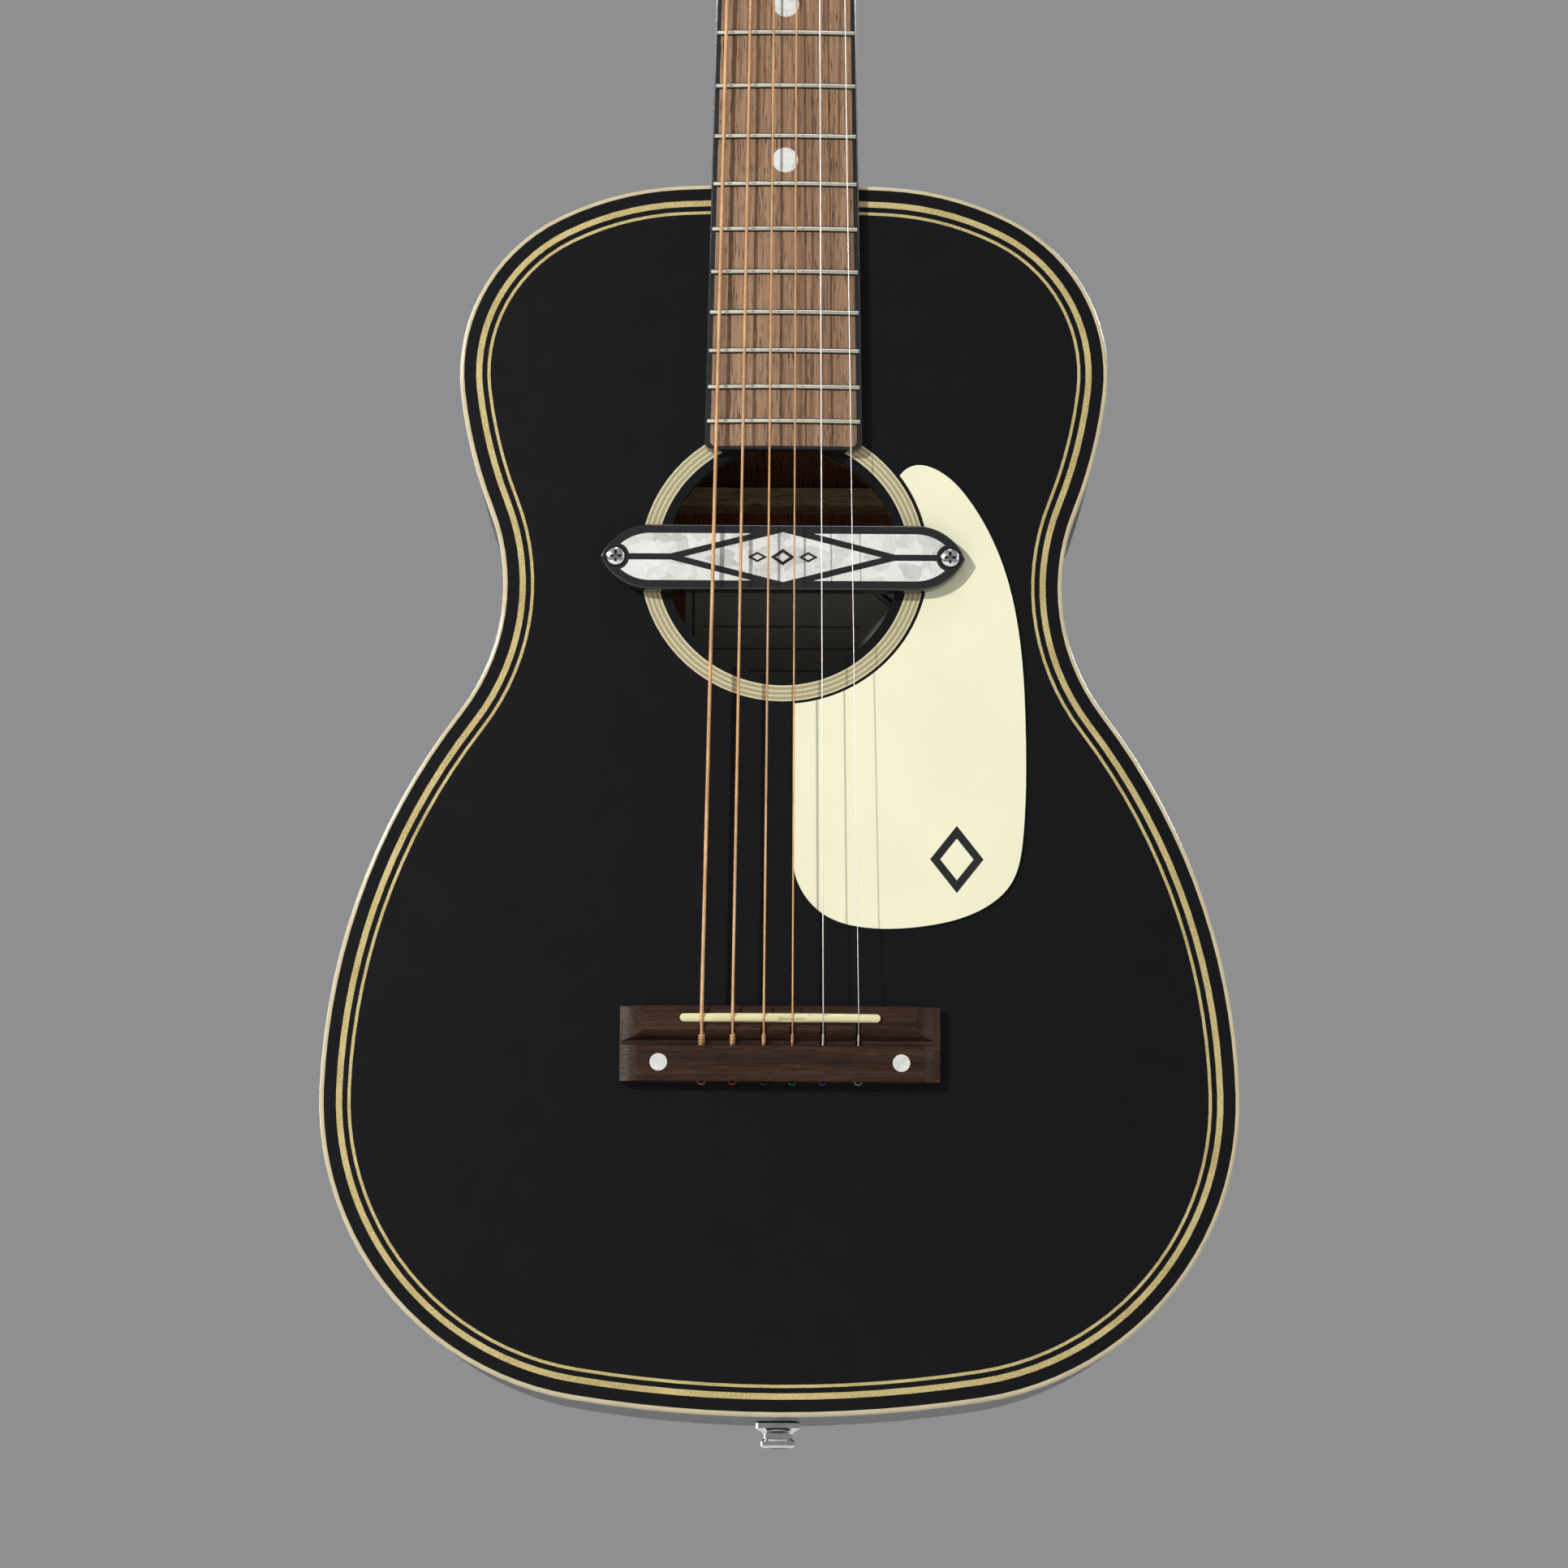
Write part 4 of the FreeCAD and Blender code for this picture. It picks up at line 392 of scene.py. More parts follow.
def screw_chrome(name):
    """Chrome of the pickup's screw heads: slightly domed, with painted shade in the cross recess.
    """
    sh = Shader(name)
    left = sh.distance_to((-PICKUP_SCREW_X, TOP_Y, HOLE.z))
    right = sh.distance_to((PICKUP_SCREW_X, TOP_Y, HOLE.z))
    radius = sh.math("MINIMUM", left, right)
    dome = sh.math("MULTIPLY", sh.math("MULTIPLY", radius, radius), -SCREW_DOME)
    # Painted shade: ambient occlusion turns the base colour near black in the cross recess.
    shade = sh.node(
        "ShaderNodeAmbientOcclusion", {"Distance": RECESS_REACH}, samples=8
    ).outputs["AO"]
    cloud = sh.noise(300.0, 4.0, 0.6)
    plated = sh.ramp(cloud, [(0.35, (0.76, 0.76, 0.76)), (0.6, (0.86, 0.86, 0.87))])
    open_part = sh.ramp(shade, [(0.45, 0.0), (0.90, 1.0)])
    sh.link(sh.mix(open_part, (0.02, 0.02, 0.02), plated), "Base Color")
    sh.link(sh.spread(cloud, 0.10, 0.20, 0.3, 0.7), "Roughness")
    sh.set(Metallic=1.0)
    return sh.bump(dome, 1.0).material


def gold_line(name):
    """Gold inlay lines with a fine metallic grain."""
    sh = Shader(name)
    flake = sh.noise(1400.0, 2.0, 0.5)
    broad = sh.noise(60.0, 3.0)
    tone = sh.weighted((flake, 0.6), (broad, 0.4))
    sh.link(sh.ramp(tone, [
        (0.35, (0.40, 0.305, 0.115)), (0.5, (0.56, 0.445, 0.185)), (0.65, (0.68, 0.56, 0.27)),
    ]), "Base Color")
    sh.link(sh.spread(flake, 0.30, 0.46), "Roughness")
    sh.set(Metallic=0.35)
    return sh.bump(flake, 0.00002).material


def rosette_lines(name):
    """Thin cream rings with gold bands between them, by distance from the hole's centre."""
    sh = Shader(name)
    share = sh.spread(sh.distance_to(HOLE), 0.0, 1.0, *ROSETTE_EDGES)
    cream = (0.74, 0.66, 0.42)
    gold = (0.40, 0.345, 0.20)
    band = (1.0 - ROSETTE_RINGS * RING_SHARE) / (ROSETTE_RINGS - 1)
    stops = [(0.0, cream)]
    for index in range(1, ROSETTE_RINGS):
        place = index * (RING_SHARE + band)
        stops += [(place - band, gold), (place, cream)]
    colour = sh.ramp(share, stops, "CONSTANT")
    fleck = sh.noise(1600.0, 2.0)
    colour = sh.mix(sh.spread(fleck, 0.0, 0.35, 0.35, 0.65), colour, (0.20, 0.17, 0.10))
    sh.link(colour, "Base Color")
    sh.link(sh.spread(fleck, 0.30, 0.45), "Roughness")
    sh.set(Metallic=0.15, Coat_Weight=0.15, Coat_Roughness=0.2)
    return sh.material


def wound_wire(name):
    """Bronze winding: close ridges round the string."""
    sh = Shader(name)
    ridges = sh.node("ShaderNodeTexWave", {
        "Vector": sh.place, "Scale": 900.0, "Distortion": 0.0,
    }, wave_type="BANDS", bands_direction="Z").outputs["Fac"]
    cloud = sh.noise(90.0, 4.0)
    tone = sh.weighted((ridges, 0.45), (cloud, 0.55))
    sh.link(sh.ramp(tone, [
        (0.25, (0.44, 0.225, 0.100)), (0.5, (0.80, 0.45, 0.215)), (0.75, (0.95, 0.62, 0.34)),
    ]), "Base Color")
    sh.link(sh.spread(ridges, 0.48, 0.36), "Roughness")
    sh.set(Metallic=0.7)
    return sh.bump(ridges, 0.00008).material


def label_paper(name):
    """Off-white label stock, its tone dimmed to a grey by painted shade, with a ruled border and a
    few plain ruled lines, no writing.
    """
    sh = Shader(name)
    low, high = corners("label")
    x, _, z = sh.split()
    pulp = sh.noise(500.0, 4.0)
    # Painted shade: the base tone is a grey well below off-white and stands in for the dim inside
    # of the body.
    paper = sh.ramp(pulp, [(0.3, (0.40, 0.39, 0.35)), (0.7, (0.48, 0.465, 0.42))])

    def near(value, place, half):
        gap = sh.math("ABSOLUTE", sh.math("SUBTRACT", value, place))
        return sh.math("LESS_THAN", gap, half)

    marks = sh.math(
        "MAXIMUM", near(x, low.x + LABEL_MARGIN, LABEL_BORDER_HALF),
        near(x, high.x - LABEL_MARGIN, LABEL_BORDER_HALF),
    )
    inner = near(x, 0.0, LABEL_ROW_REACH)
    for row in range(LABEL_ROWS):
        line = near(z, high.z - LABEL_FIRST_ROW - LABEL_ROW_PITCH * row, LABEL_ROW_HALF)
        marks = sh.math("MAXIMUM", marks, sh.math("MULTIPLY", line, inner))
    sh.link(sh.mix(marks, paper, (0.12, 0.11, 0.10)), "Base Color")
    sh.set(Roughness=0.85)
    return sh.bump(pulp, 0.00005).material


def rubber(name):
    sh = Shader(name)
    grit = sh.noise(900.0, 3.0)
    sh.link(sh.ramp(grit, [(0.3, (0.012, 0.012, 0.013)), (0.7, (0.022, 0.022, 0.023))]),
            "Base Color")
    sh.link(sh.spread(grit, 0.45, 0.65), "Roughness")
    return sh.bump(grit, 0.00004).material


def bone(name):
    sh = Shader(name)
    fibre = sh.noise(300.0, 4.0, 0.6, sh.stretched((0.2, 1.0, 1.0)))
    sh.link(sh.ramp(fibre, [
        (0.3, (0.60, 0.51, 0.27)), (0.5, (0.70, 0.62, 0.36)), (0.7, (0.78, 0.71, 0.46)),
    ]), "Base Color")
    sh.link(sh.spread(fibre, 0.18, 0.34), "Roughness")
    sh.set(Subsurface_Weight=0.05, Coat_Weight=0.2, Coat_Roughness=0.12)
    return sh.bump(fibre, 0.00002).material


MATERIALS = {
    "soundboard": lacquer_black("top_lacquer", soundboard_inside),
    "back": lacquer_black("back_lacquer", back_inside),
    "lacquer": lacquer_black("body_lacquer"),
    "inner_wood": bare_wood("inner_wood", BLOCK_WOOD),
    "spruce": bare_wood("brace_wood", BRACE_SPRUCE, "X"),
    "cream_binding": plastic("cream_binding", (0.52, 0.44, 0.28), (0.10, 0.20)),
    "guard": plastic("cream_guard", (0.775, 0.755, 0.545), (0.10, 0.22), 0.02, 30.0, 0.2),
    "button": plastic("cream_button", (0.74, 0.67, 0.46), (0.12, 0.24)),
    "gold": gold_line("gold_line"),
    "rosette": rosette_lines("rosette_lines"),
    "board": walnut_board("walnut_board"),
    "bridge": walnut_bridge("walnut_bridge"),
    "edging": plastic("black_edging", (0.010, 0.010, 0.011), (0.16, 0.24), 0.1, 90.0, 0.5),
    "black_plastic": plastic("black_plastic", (0.010, 0.010, 0.011), (0.14, 0.26), 0.1, 90.0, 0.4),
    "coil": rubber("coil_tape"),
    "rubber": rubber("lead_rubber"),
    "bone": bone("bone"),
    "pearl": pearloid("pearl"),
    "paper": label_paper("label_paper"),
    "frets": fret_wire("nickel_silver"),
    "screw": screw_chrome("screw_chrome"),
    "chrome": metal("chrome", (0.76, 0.76, 0.77), (0.06, 0.14), tarnish=0.05),
    "nickel": metal("nickel", (0.66, 0.64, 0.60), (0.12, 0.26)),
    "steel": metal("steel", (0.48, 0.48, 0.47), (0.25, 0.42)),
    "wound": wound_wire("wound_bronze"),
    "plain": metal("plain_wire", (0.72, 0.70, 0.65), (0.38, 0.46), (1.0, 1.0, 0.02), 0.02),
    "motif": plastic("motif_black", (0.012, 0.012, 0.013), (0.16, 0.26), 0.1),
    "motif_bronze": metal("motif_bronze", (0.075, 0.058, 0.040), (0.25, 0.40)),
}

NODE_FINISH = {
    "soundboard": "soundboard", "back_plate": "back", "side_bass": "lacquer",
    "side_treble": "lacquer", "neck": "lacquer", "neck_block": "inner_wood",
    "tail_block": "inner_wood", "linings": "inner_wood", "top_braces": "spruce",
    "back_braces": "spruce", "label": "paper", "top_binding": "cream_binding",
    "back_binding": "cream_binding", "top_purfling": "gold", "rosette": "rosette",
    "pickguard": "guard", "fretboard": "board", "fretboard_edging": "edging",
    "frets": "frets", "inlay_dots": "pearl", "nut": "bone", "truss_rod": "steel",
    "truss_rod_cover": "black_plastic", "bridge": "bridge", "saddle": "bone",
    "pickup_cover": "black_plastic", "pickup_inlay": "pearl", "pickup_coil": "coil",
    "pickup_clamps": "steel", "pickup_screws": "screw", "pickup_lead": "rubber",
    "endpin_jack": "chrome", "strap_button": "chrome", "tuner_plates": "nickel",
    "tuner_bushings": "nickel", "tuner_screws": "nickel",
}
for kind, finish in (("key", "nickel"), ("post", "nickel"), ("button", "button")):
    NODE_FINISH.update({"tuner_%s_%d" % (kind, number): finish for number in NUMBERS})


def finish_nodes():
    """Give each CAD node its finish; pieces that replace a node bring their own."""
    for node, finish in NODE_FINISH.items():
        mesh = NODES[node].data
        if not mesh.materials:
            mesh.materials.append(MATERIALS[finish])
        for index in range(len(mesh.materials)):
            mesh.materials[index] = MATERIALS[finish]


# ------------------------------------------------------------------ mesh helpers

# A corner's curve starts at most at this share of either run.
CORNER_SHARE = 0.45


def add_mesh(name, build, finish, smooth=True):
    """A new piece whose mesh is made by build, with a finish."""
    data = bpy.data.meshes.new(name)
    bm = bmesh.new()
    build(bm)
    bmesh.ops.recalc_face_normals(bm, faces=bm.faces)
    bm.to_mesh(data)
    bm.free()
    if smooth:
        data.shade_smooth()
    data.materials.append(MATERIALS[finish])
    piece = bpy.data.objects.new(name, data)
    bpy.context.scene.collection.objects.link(piece)
    return piece


def join_rings(bm, pairs):
    """Quads round each pair of rings of equal point counts."""
    for low, high in pairs:
        for k in range(len(low)):
            j = (k + 1) % len(low)
            bm.faces.new((low[k], low[j], high[j], high[k]))


def sweep(bm, points, radius, sides):
    """Round tube along points, closed at both ends."""
    directions = []
    for i in range(len(points)):
        before = points[max(i - 1, 0)]
        after = points[min(i + 1, len(points) - 1)]
        directions.append((after - before).normalized())
    side = directions[0].orthogonal().normalized()
    rings = []
    for point, direction in zip(points, directions):
        side = (side - direction * side.dot(direction)).normalized()
        up = direction.cross(side)
        ring = []
        for k in range(sides):
            turn = 2 * math.pi * k / sides
            spoke = (side * math.cos(turn) + up * math.sin(turn)) * radius
            ring.append(bm.verts.new(point + spoke))
        rings.append(ring)
    join_rings(bm, zip(rings, rings[1:]))
    bm.faces.new(list(reversed(rings[0])))
    bm.faces.new(rings[-1])


def densify(points, step):
    """Points at most step apart along straight runs."""
    full = [points[0]]
    for a, b in zip(points, points[1:]):
        count = max(1, math.ceil((b - a).length / step))
        full.extend(a.lerp(b, i / count) for i in range(1, count + 1))
    return full


def rounded(points, radius, steps=6):
    """Straight runs with each corner replaced by a small curve."""
    full = [points[0]]
    for before, corner, after in zip(points, points[1:], points[2:]):
        back, on = before - corner, after - corner
        reach = min(radius, back.length * CORNER_SHARE, on.length * CORNER_SHARE)
        a = corner + back.normalized() * reach
        b = corner + on.normalized() * reach
        for i in range(steps + 1):
            t = i / steps
            full.append(a * (1 - t) ** 2 + corner * 2 * t * (1 - t) + b * t ** 2)
    full.append(points[-1])
    return full


# ------------------------------------------------------------------ strings

StringSize = namedtuple("StringSize", "radius saddle_x turns ball_colour")

# In number order: radius and x on the saddle in mm, turns on the post, the ball's colour.
STRINGS = (
    StringSize(0.152, 27.9, 5, (0.13, 0.13, 0.135)),
    StringSize(0.205, 15.3, 4, (0.045, 0.024, 0.085)),
    StringSize(0.305, 4.4, 3, (0.010, 0.070, 0.035)),
    StringSize(0.405, -5.8, 3, (0.015, 0.015, 0.016)),
    StringSize(0.535, -16.9, 2, (0.17, 0.016, 0.014)),
    StringSize(0.675, -27.9, 2, (0.16, 0.105, 0.045)),
)
PLAIN_STRINGS = 2

# The rest of this group is in mm, along the strings (s) and above the top (h) as in at().
# The ball ends sit in round pockets in the bridge's tail edge and stand a little proud of it.
BALL_LENGTH = 3.6
BALL_PROUD = 1.4
BALL_H = 3.0
BALL_S = (NUT_LOW.z - BRIDGE_LOW.z) / MM + BALL_PROUD - BALL_LENGTH / 2
STRING_IN_BALL = 0.6
# The mouth is where a string comes out of the bridge, on its way to the saddle.
MOUTH_S = 622.4
MOUTH_H = 3.6
# A string clears the saddle's crown by this much.
SADDLE_LIFT = 0.06
CAMBER_RADIUS = 305.0
# Spread of the outer strings at the nut, the nut's length and its slots' fall to the head.
NUT_SPREAD = 35.5
NUT_LENGTH = 5.0
NUT_SLOT_FALL = 0.6

# On the posts: the gap inside the coil, and the heights of the coil and the eye.
POST_RADIUS = 3.0 * MM
WIND_GAP = 0.25 * MM
COIL_BASE = 2.2 * MM
EYE_DEPTH = 11.0 * MM
STRING_BEND = 2.2 * MM
TAIL_BEND = 0.8 * MM
RUN_STEP = 24.0 * MM
RUN_SIDES = 14
WRAP_SIDES = 12
# In string radii: rise of one turn, and the least gap below the eye that is climbed in a curve.
WIND_PITCH = 2.06
CLIMB_GAP = 3.0
STEPS_PER_TURN = 40
# The climb leaves the last turn with this lean and at this share of the gap, and reaches the
# post's side this share of the gap below the eye, so many string radii further out.
CLIMB_LEAN = 0.9 * MM
CLIMB_LEAVE = 0.30
CLIMB_REACH = 0.22
CLIMB_OUT = 0.6
# The last point before the eye: a share of the coil's radius, and a drop below the eye.
EYE_SHARE = 0.86
EYE_DROP = 0.1 * MM
# The cut end's points: distance out past the post, and away from the head.
TAIL = ((0.6 * MM, 0.0), (2.6 * MM, 0.5 * MM), (4.6 * MM, 1.7 * MM))

# The twist starts at this share of the way from the ball to the bridge's mouth, and ends at
# this share of the way from the mouth to the saddle.
TWIST_START = 0.1
TWIST_END = 0.42
# A strand's radius is this share of the string's, and at least this many mm. The strands wind
# round the string at its own radius plus this many strand radii, one turn every so many.
STRAND_SHARE = 0.55
STRAND_LEAST = 0.16
STRAND_OUT = 0.8
STRAND_PITCH = 2.5
TWIST_SIDES = 6
TWIST_STEPS = 10

# Section of a ball end, in mm: radius, and distance along its own axis.
REEL = (
    (0.75, -1.4), (1.5, -1.4), (1.7, -1.25), (1.7, -0.9), (1.3, -0.6), (1.3, 0.6),
    (1.7, 0.9), (1.7, 1.25), (1.5, 1.4), (0.75, 1.4),
)
REEL_SIDES = 28


def string_finish(number):
    """Material and slot of a string."""
    if number <= PLAIN_STRINGS:
        return "plain", "plain_string"
    return "wound", "bronze_string"


def camber_drop(x):
    """Fall of the cambered nut and saddle at x, in mm."""
    return CAMBER_RADIUS - math.sqrt(CAMBER_RADIUS ** 2 - x ** 2)


def string_axis(number):
    """Points of a string's straight runs, up to where it meets its coil on the post."""
    size = STRINGS[number - 1]
    x = size.saddle_x
    saddle_s = (NUT_LOW.z - (SADDLE_LOW.z + SADDLE_HIGH.z) / 2) / MM
    saddle_h = (TOP_Y - SADDLE_LOW.y) / MM - camber_drop(x) + size.radius + SADDLE_LIFT
    x_nut = NUT_SPREAD * (0.5 - (number - 1) / (len(STRINGS) - 1))
    nut_h = (TOP_Y - NUT_LOW.y) / MM - camber_drop(x_nut)
    return [
        at(x, BALL_S - BALL_LENGTH / 2 + STRING_IN_BALL, BALL_H),
        at(x, MOUTH_S, MOUTH_H),
        at(x, saddle_s, saddle_h),
        at(x_nut, 0.0, nut_h),
        at(x_nut, -NUT_LENGTH, nut_h - NUT_SLOT_FALL),
    ]


def post_frame(number):
    """Centre of the post where it leaves the head's face, and the unit axis into the head."""
    joint = JOINTS["post_turn_%d" % number]
    return Vector(joint["pos_m"]), Vector(joint["axis"]).normalized()


def coil_start(number, back):
    """Coil centre, unit arm to where the string from back touches the coil, and its radius."""
    radius = STRINGS[number - 1].radius * MM
    centre, into = post_frame(number)
    ring = POST_RADIUS + WIND_GAP + radius
    level = centre - into * (COIL_BASE + radius)
    flat = back - level
    flat -= into * flat.dot(into)
    bearing = math.acos(ring / flat.length)
    side = 1.0 if centre.x > 0 else -1.0
    toward = flat.normalized()
    across = into.cross(toward)
    tangents = [
        toward * math.cos(bearing) + across * math.sin(sign * bearing) for sign in (1.0, -1.0)
    ]
    # The string comes in on the side of the post nearer the middle of the head.
    return level, min(tangents, key=lambda arm: arm.x * side), ring


def string_wrap(number):
    """Coil, rise to the eye, and the cut end that sticks out of the far side."""
    radius = STRINGS[number - 1].radius * MM
    back = string_axis(number)[-1]
    level, arm, ring = coil_start(number, back)
    centre, into = post_frame(number)
    across = into.cross(arm)
    if across.dot(level + arm * ring - back) <= 0:
        across = -across
    head_up = Vector((0, -into.z, into.y))
    eye_turn = math.atan2(head_up.dot(across), head_up.dot(arm))
    total = 2 * math.pi * STRINGS[number - 1].turns
    total += (eye_turn - total) % (2 * math.pi)
    steps = int(STEPS_PER_TURN * total / (2 * math.pi))
    points = []
    for i in range(steps + 1):
        turn = total * i / steps
        rise = WIND_PITCH * radius * turn / (2 * math.pi)
        out = arm * math.cos(turn) + across * math.sin(turn)
        points.append(level + out * ring - into * rise)
    out = arm * math.cos(total) + across * math.sin(total)
    lean = across * math.cos(total) - arm * math.sin(total)
    eye = centre - into * EYE_DEPTH
    gap = (eye - points[-1]).dot(-into)
    # The string leaves its last turn, swings up beside the post and goes in at the eye.
    if gap > CLIMB_GAP * radius:
        points.append(points[-1] + lean * CLIMB_LEAN - into * gap * CLIMB_LEAVE)
        points.append(eye + out * (ring + radius * CLIMB_OUT) + into * gap * CLIMB_REACH)
    points.append(eye + out * ring * EYE_SHARE + into * EYE_DROP)
    points.append(eye)
    for past, away in TAIL:
        points.append(eye - out * (ring + past) - into * away)
    return points[:steps] + rounded(points[steps:], TAIL_BEND, 4)


def make_string(number):
    """The run from ball to post stays with the guitar; the turns ride on the post."""
    radius = STRINGS[number - 1].radius * MM
    finish, slot = string_finish(number)
    axis = string_axis(number)
    level, arm, ring = coil_start(number, axis[-1])
    path = densify(rounded(axis + [level + arm * ring], STRING_BEND), RUN_STEP)
    run = add_mesh(
        "string_run_%d" % number,
        lambda bm: sweep(bm, path, radius, RUN_SIDES), finish,
    )
    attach(run, "guitar")
    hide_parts("string_%d" % number)
    wrap = add_mesh(
        "string_wrap_%d" % number,
        lambda bm: sweep(bm, string_wrap(number), radius, WRAP_SIDES), finish,
    )
    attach(wrap, "post_%d" % number)


def make_twist(number):
    """The string doubled back on itself in a tight twist, from the ball to past the mouth."""
    radius = STRINGS[number - 1].radius
    start, mouth, saddle = string_axis(number)[:3]
    strand = max(STRAND_LEAST, radius * STRAND_SHARE) * MM
    ring = radius * MM + strand * STRAND_OUT
    start, end = start.lerp(mouth, TWIST_START), mouth.lerp(saddle, TWIST_END)
    inside = (mouth - start).length
    length = inside + (end - mouth).length
    count = int(length / (strand * STRAND_PITCH))
    steps = count * TWIST_STEPS
    points = []
    for i in range(steps + 1):
        along = length * i / steps
        if along < inside:
            base, way = start, (mouth - start).normalized()
        else:
            base, way, along = mouth, (end - mouth).normalized(), along - inside
        side = way.cross(Vector((1, 0, 0))).normalized()
        up = way.cross(side)
        turn = 2 * math.pi * count * i / steps
        points.append(base + way * along + (side * math.cos(turn) + up * math.sin(turn)) * ring)
    finish, slot = string_finish(number)
    twist = add_mesh(
        "string_twist_%d" % number,
        lambda bm: sweep(bm, points, strand, TWIST_SIDES), finish,
    )
    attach(twist, "guitar")


def ball_finish(name, colour):
    """Coloured plating of a ball end."""
    sh = Shader(name)
    cloud = sh.noise(600.0, 3.0)
    dark = tuple(c * 0.75 for c in colour)
    sh.link(sh.ramp(cloud, [(0.35, dark), (0.65, colour)]), "Base Color")
    sh.link(sh.spread(cloud, 0.20, 0.36), "Roughness")
    sh.set(Metallic=0.6)
    return sh.bump(cloud, 0.00002).material


def make_ball(number):
    """Ball end: a small flanged reel, its axis square to the top."""
    size = STRINGS[number - 1]
    name = "ball_finish_%d" % number
    MATERIALS[name] = ball_finish(name, size.ball_colour)
    centre = at(size.saddle_x, BALL_S, BALL_H)

    def build(bm):
        rings = []
        for radius, out in REEL:
            ring = []
            for k in range(REEL_SIDES):
                turn = 2 * math.pi * k / REEL_SIDES
                spoke = Vector((math.cos(turn), 0, math.sin(turn))) * radius * MM
                ring.append(bm.verts.new(centre + spoke + Vector((0, out * MM, 0))))
            rings.append(ring)
        join_rings(bm, zip(rings, rings[1:] + rings[:1]))

    ball = add_mesh("ball_end_%d" % number, build, name)
    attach(ball, "guitar")


# ------------------------------------------------------------------ plain motifs

# All in mm: centre as x and s, half widths and half heights, and heights above the top.
GUARD_MOTIF_CENTRE = (63.1, 554.4)
GUARD_MOTIF_OUTER = (9.6, 12.2)
GUARD_MOTIF_INNER = (6.0, 7.6)
GUARD_MOTIF_HEIGHTS = (1.15, 1.24)
# x of the centre, half width and half height.
PICKUP_MOTIFS = ((-9.2, 3.6, 1.9), (0.0, 4.4, 3.1), (9.2, 3.6, 1.9))
PICKUP_MOTIF_OPENING = 0.55
PICKUP_MOTIF_SUNK = 0.1
PICKUP_MOTIF_PROUD = 0.04


def flat_shape(bm, outline, hole, low_h, high_h):
    """A thin flat-topped shape between two closed outlines of equal point counts."""
    lower_out = [bm.verts.new(at(x, s, low_h)) for x, s in outline]
    upper_out = [bm.verts.new(at(x, s, high_h)) for x, s in outline]
    lower_in = [bm.verts.new(at(x, s, low_h)) for x, s in hole]
    upper_in = [bm.verts.new(at(x, s, high_h)) for x, s in hole]
    count = len(outline)
    for k in range(count):
        j = (k + 1) % count
        bm.faces.new((upper_out[k], upper_out[j], upper_in[j], upper_in[k]))
        bm.faces.new((lower_out[k], lower_in[k], lower_in[j], lower_out[j]))
        bm.faces.new((lower_out[k], lower_out[j], upper_out[j], upper_out[k]))
        bm.faces.new((lower_in[k], upper_in[k], upper_in[j], lower_in[j]))


def lozenge_points(x, s, wide, tall):
    return [(x + wide, s), (x, s + tall), (x - wide, s), (x, s - tall)]


def guard_motif():
    """A plain bold lozenge outline on the pickguard."""

    def build(bm):
        outer = lozenge_points(*GUARD_MOTIF_CENTRE, *GUARD_MOTIF_OUTER)
        inner = lozenge_points(*GUARD_MOTIF_CENTRE, *GUARD_MOTIF_INNER)
        flat_shape(bm, outer, inner, *GUARD_MOTIF_HEIGHTS)

    piece = add_mesh("guard_motif", build, "motif", smooth=False)
    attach(piece, "guitar")


def pickup_motif():
    """Three plain lozenges in a row in the pickup's centre inlay."""
    inlay_top = (TOP_Y - corners("pickup_inlay")[0].y) / MM
    hole_s = (NUT_LOW.z - HOLE.z) / MM

    def build(bm):
        for x, wide, tall in PICKUP_MOTIFS:
            flat_shape(
                bm, lozenge_points(x, hole_s, wide, tall),
                lozenge_points(
                    x, hole_s, wide * PICKUP_MOTIF_OPENING, tall * PICKUP_MOTIF_OPENING
                ),
                inlay_top - PICKUP_MOTIF_SUNK, inlay_top + PICKUP_MOTIF_PROUD,
            )

    piece = add_mesh("pickup_motif", build, "motif_bronze", smooth=False)
    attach(piece, "guitar")


# ------------------------------------------------------------------ stage, light and camera

FLOOR_HALF = 80.0
FLOOR_LEVEL = -0.30
FLOOR_COLOUR = (0.60, 0.60, 0.59)
WORLD_COLOUR = (0.80, 0.81, 0.83, 1.0)
WORLD_STRENGTH = 0.34
# Name, place in metres, diameter in metres and power in watts of each round lamp.
LIGHTS = (
    ("key", (-1.7, -2.2, 1.2), 0.12, 74.0),
    ("fill", (2.1, -1.6, 0.7), 1.0, 5.0),
    ("overhead", (0.1, -0.9, 2.5), 0.5, 7.0),
    ("side_left", (-2.3, 0.0, 1.65), 0.6, 22.0),
    ("side_right", (2.3, 0.0, 1.65), 0.6, 22.0),
    ("back_key", (1.3, 2.1, 1.6), 1.0, 30.0),
    ("back_fill", (-1.7, 1.7, 0.5), 1.2, 14.0),
)
LIGHT_AIM = Vector((0.0, 0.0, 0.3))


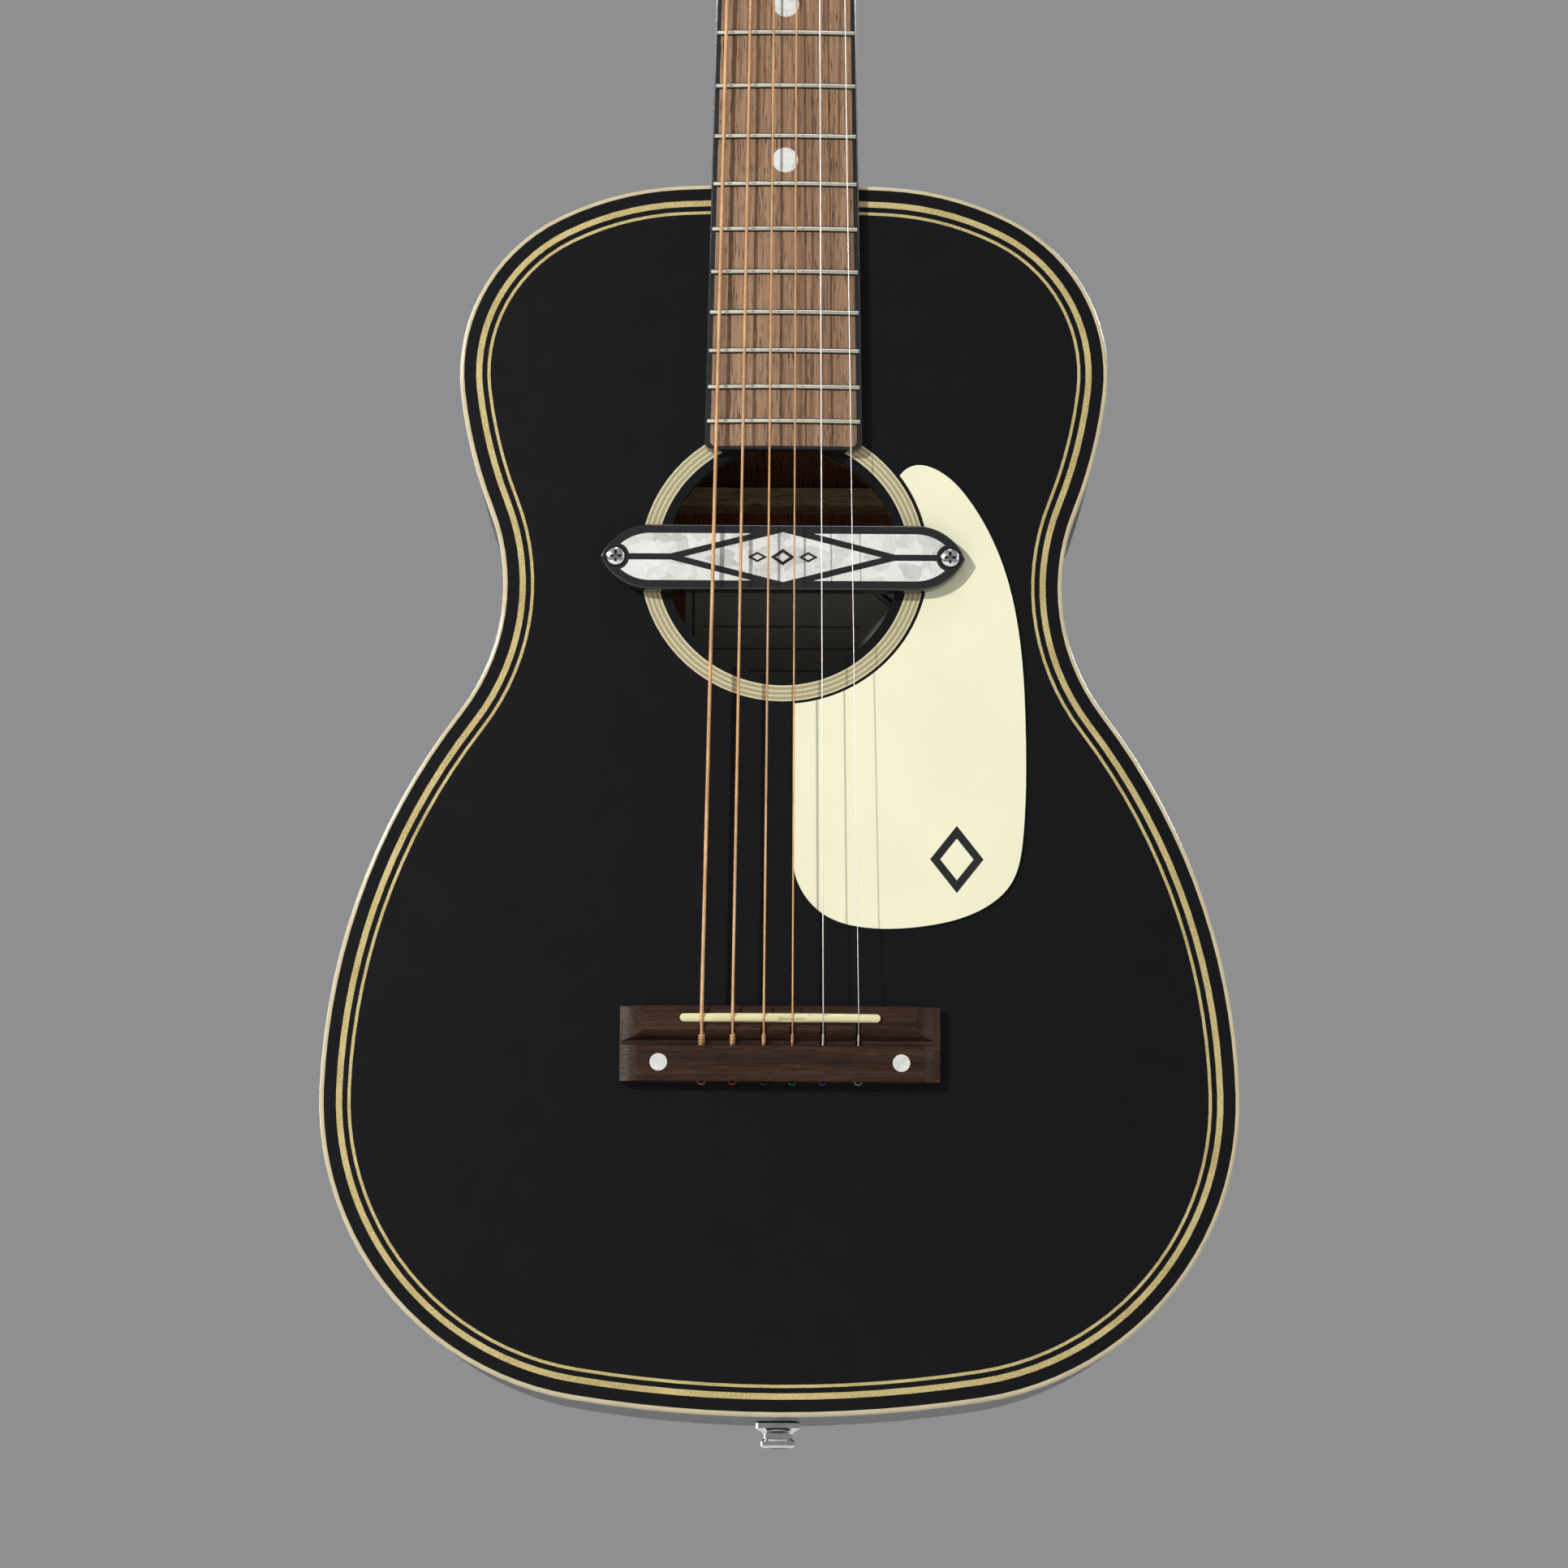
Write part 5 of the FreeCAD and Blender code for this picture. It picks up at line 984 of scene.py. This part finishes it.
def make_stage():
    """Plain pale floor below the guitar, and an even world."""
    floor = bpy.data.meshes.new("floor")
    signs = ((-1, -1), (1, -1), (1, 1), (-1, 1))
    floor.from_pydata(
        [(FLOOR_HALF * x, FLOOR_HALF * y, FLOOR_LEVEL) for x, y in signs], [], [(0, 1, 2, 3)]
    )
    paint = Shader("pale_stage").set(Base_Color=FLOOR_COLOUR, Roughness=0.9)
    floor.materials.append(paint.material)
    piece = bpy.data.objects.new("floor", floor)
    bpy.context.scene.collection.objects.link(piece)
    world = bpy.data.worlds.new("soft_world")
    world.use_nodes = True
    background = world.node_tree.nodes["Background"]
    background.inputs["Color"].default_value = WORLD_COLOUR
    background.inputs["Strength"].default_value = WORLD_STRENGTH
    bpy.context.scene.world = world
    bpy.context.scene.view_settings.view_transform = "Standard"


def make_light(name, place, size, power):
    data = bpy.data.lights.new(name, "AREA")
    data.shape = "DISK"
    data.size = size
    data.energy = power
    lamp = bpy.data.objects.new(name, data)
    lamp.location = place
    lamp.rotation_mode = "QUATERNION"
    lamp.rotation_quaternion = (LIGHT_AIM - Vector(place)).to_track_quat("-Z", "Y")
    bpy.context.scene.collection.objects.link(lamp)


# The camera looks slightly up at a point on the top; its aim is in mm, as in at().
CAMERA_DISTANCE = 1.740
CAMERA_TILT = math.radians(9.556)
CAMERA_ROLL = math.atan(0.00576)
CAMERA_AIM = (0.9, 527.1, 0.0)
SENSOR_WIDTH = 36.0
# Focal length as a multiple of the frame's width.
FOCAL_SHARE = 5952.2 / 1932.0
CLIP_START = 0.05


def make_camera():
    """Camera in front of the guitar, a little below its aim and tilted up."""
    look = Vector((0.0, math.cos(CAMERA_TILT), math.sin(CAMERA_TILT)))
    right = Vector((1.0, 0.0, 0.0))
    up = Vector((0.0, -math.sin(CAMERA_TILT), math.cos(CAMERA_TILT)))
    cosine, sine = math.cos(CAMERA_ROLL), math.sin(CAMERA_ROLL)
    right, up = right * cosine + up * sine, up * cosine - right * sine
    data = bpy.data.cameras.new("camera")
    data.sensor_width = SENSOR_WIDTH
    data.lens = SENSOR_WIDTH * FOCAL_SHARE
    data.clip_start = CLIP_START
    camera = bpy.data.objects.new("camera", data)
    turn = Matrix((right, up, -look)).transposed().to_4x4()
    place = at(*CAMERA_AIM) - look * CAMERA_DISTANCE
    camera.matrix_world = Matrix.Translation(place) @ turn
    bpy.context.scene.collection.objects.link(camera)
    bpy.context.scene.camera = camera


# ------------------------------------------------------------------ the scene

make_camera()
finish_nodes()
for string_number in NUMBERS:
    make_string(string_number)
    make_twist(string_number)
    make_ball(string_number)
guard_motif()
pickup_motif()
make_stage()
for light in LIGHTS:
    make_light(*light)
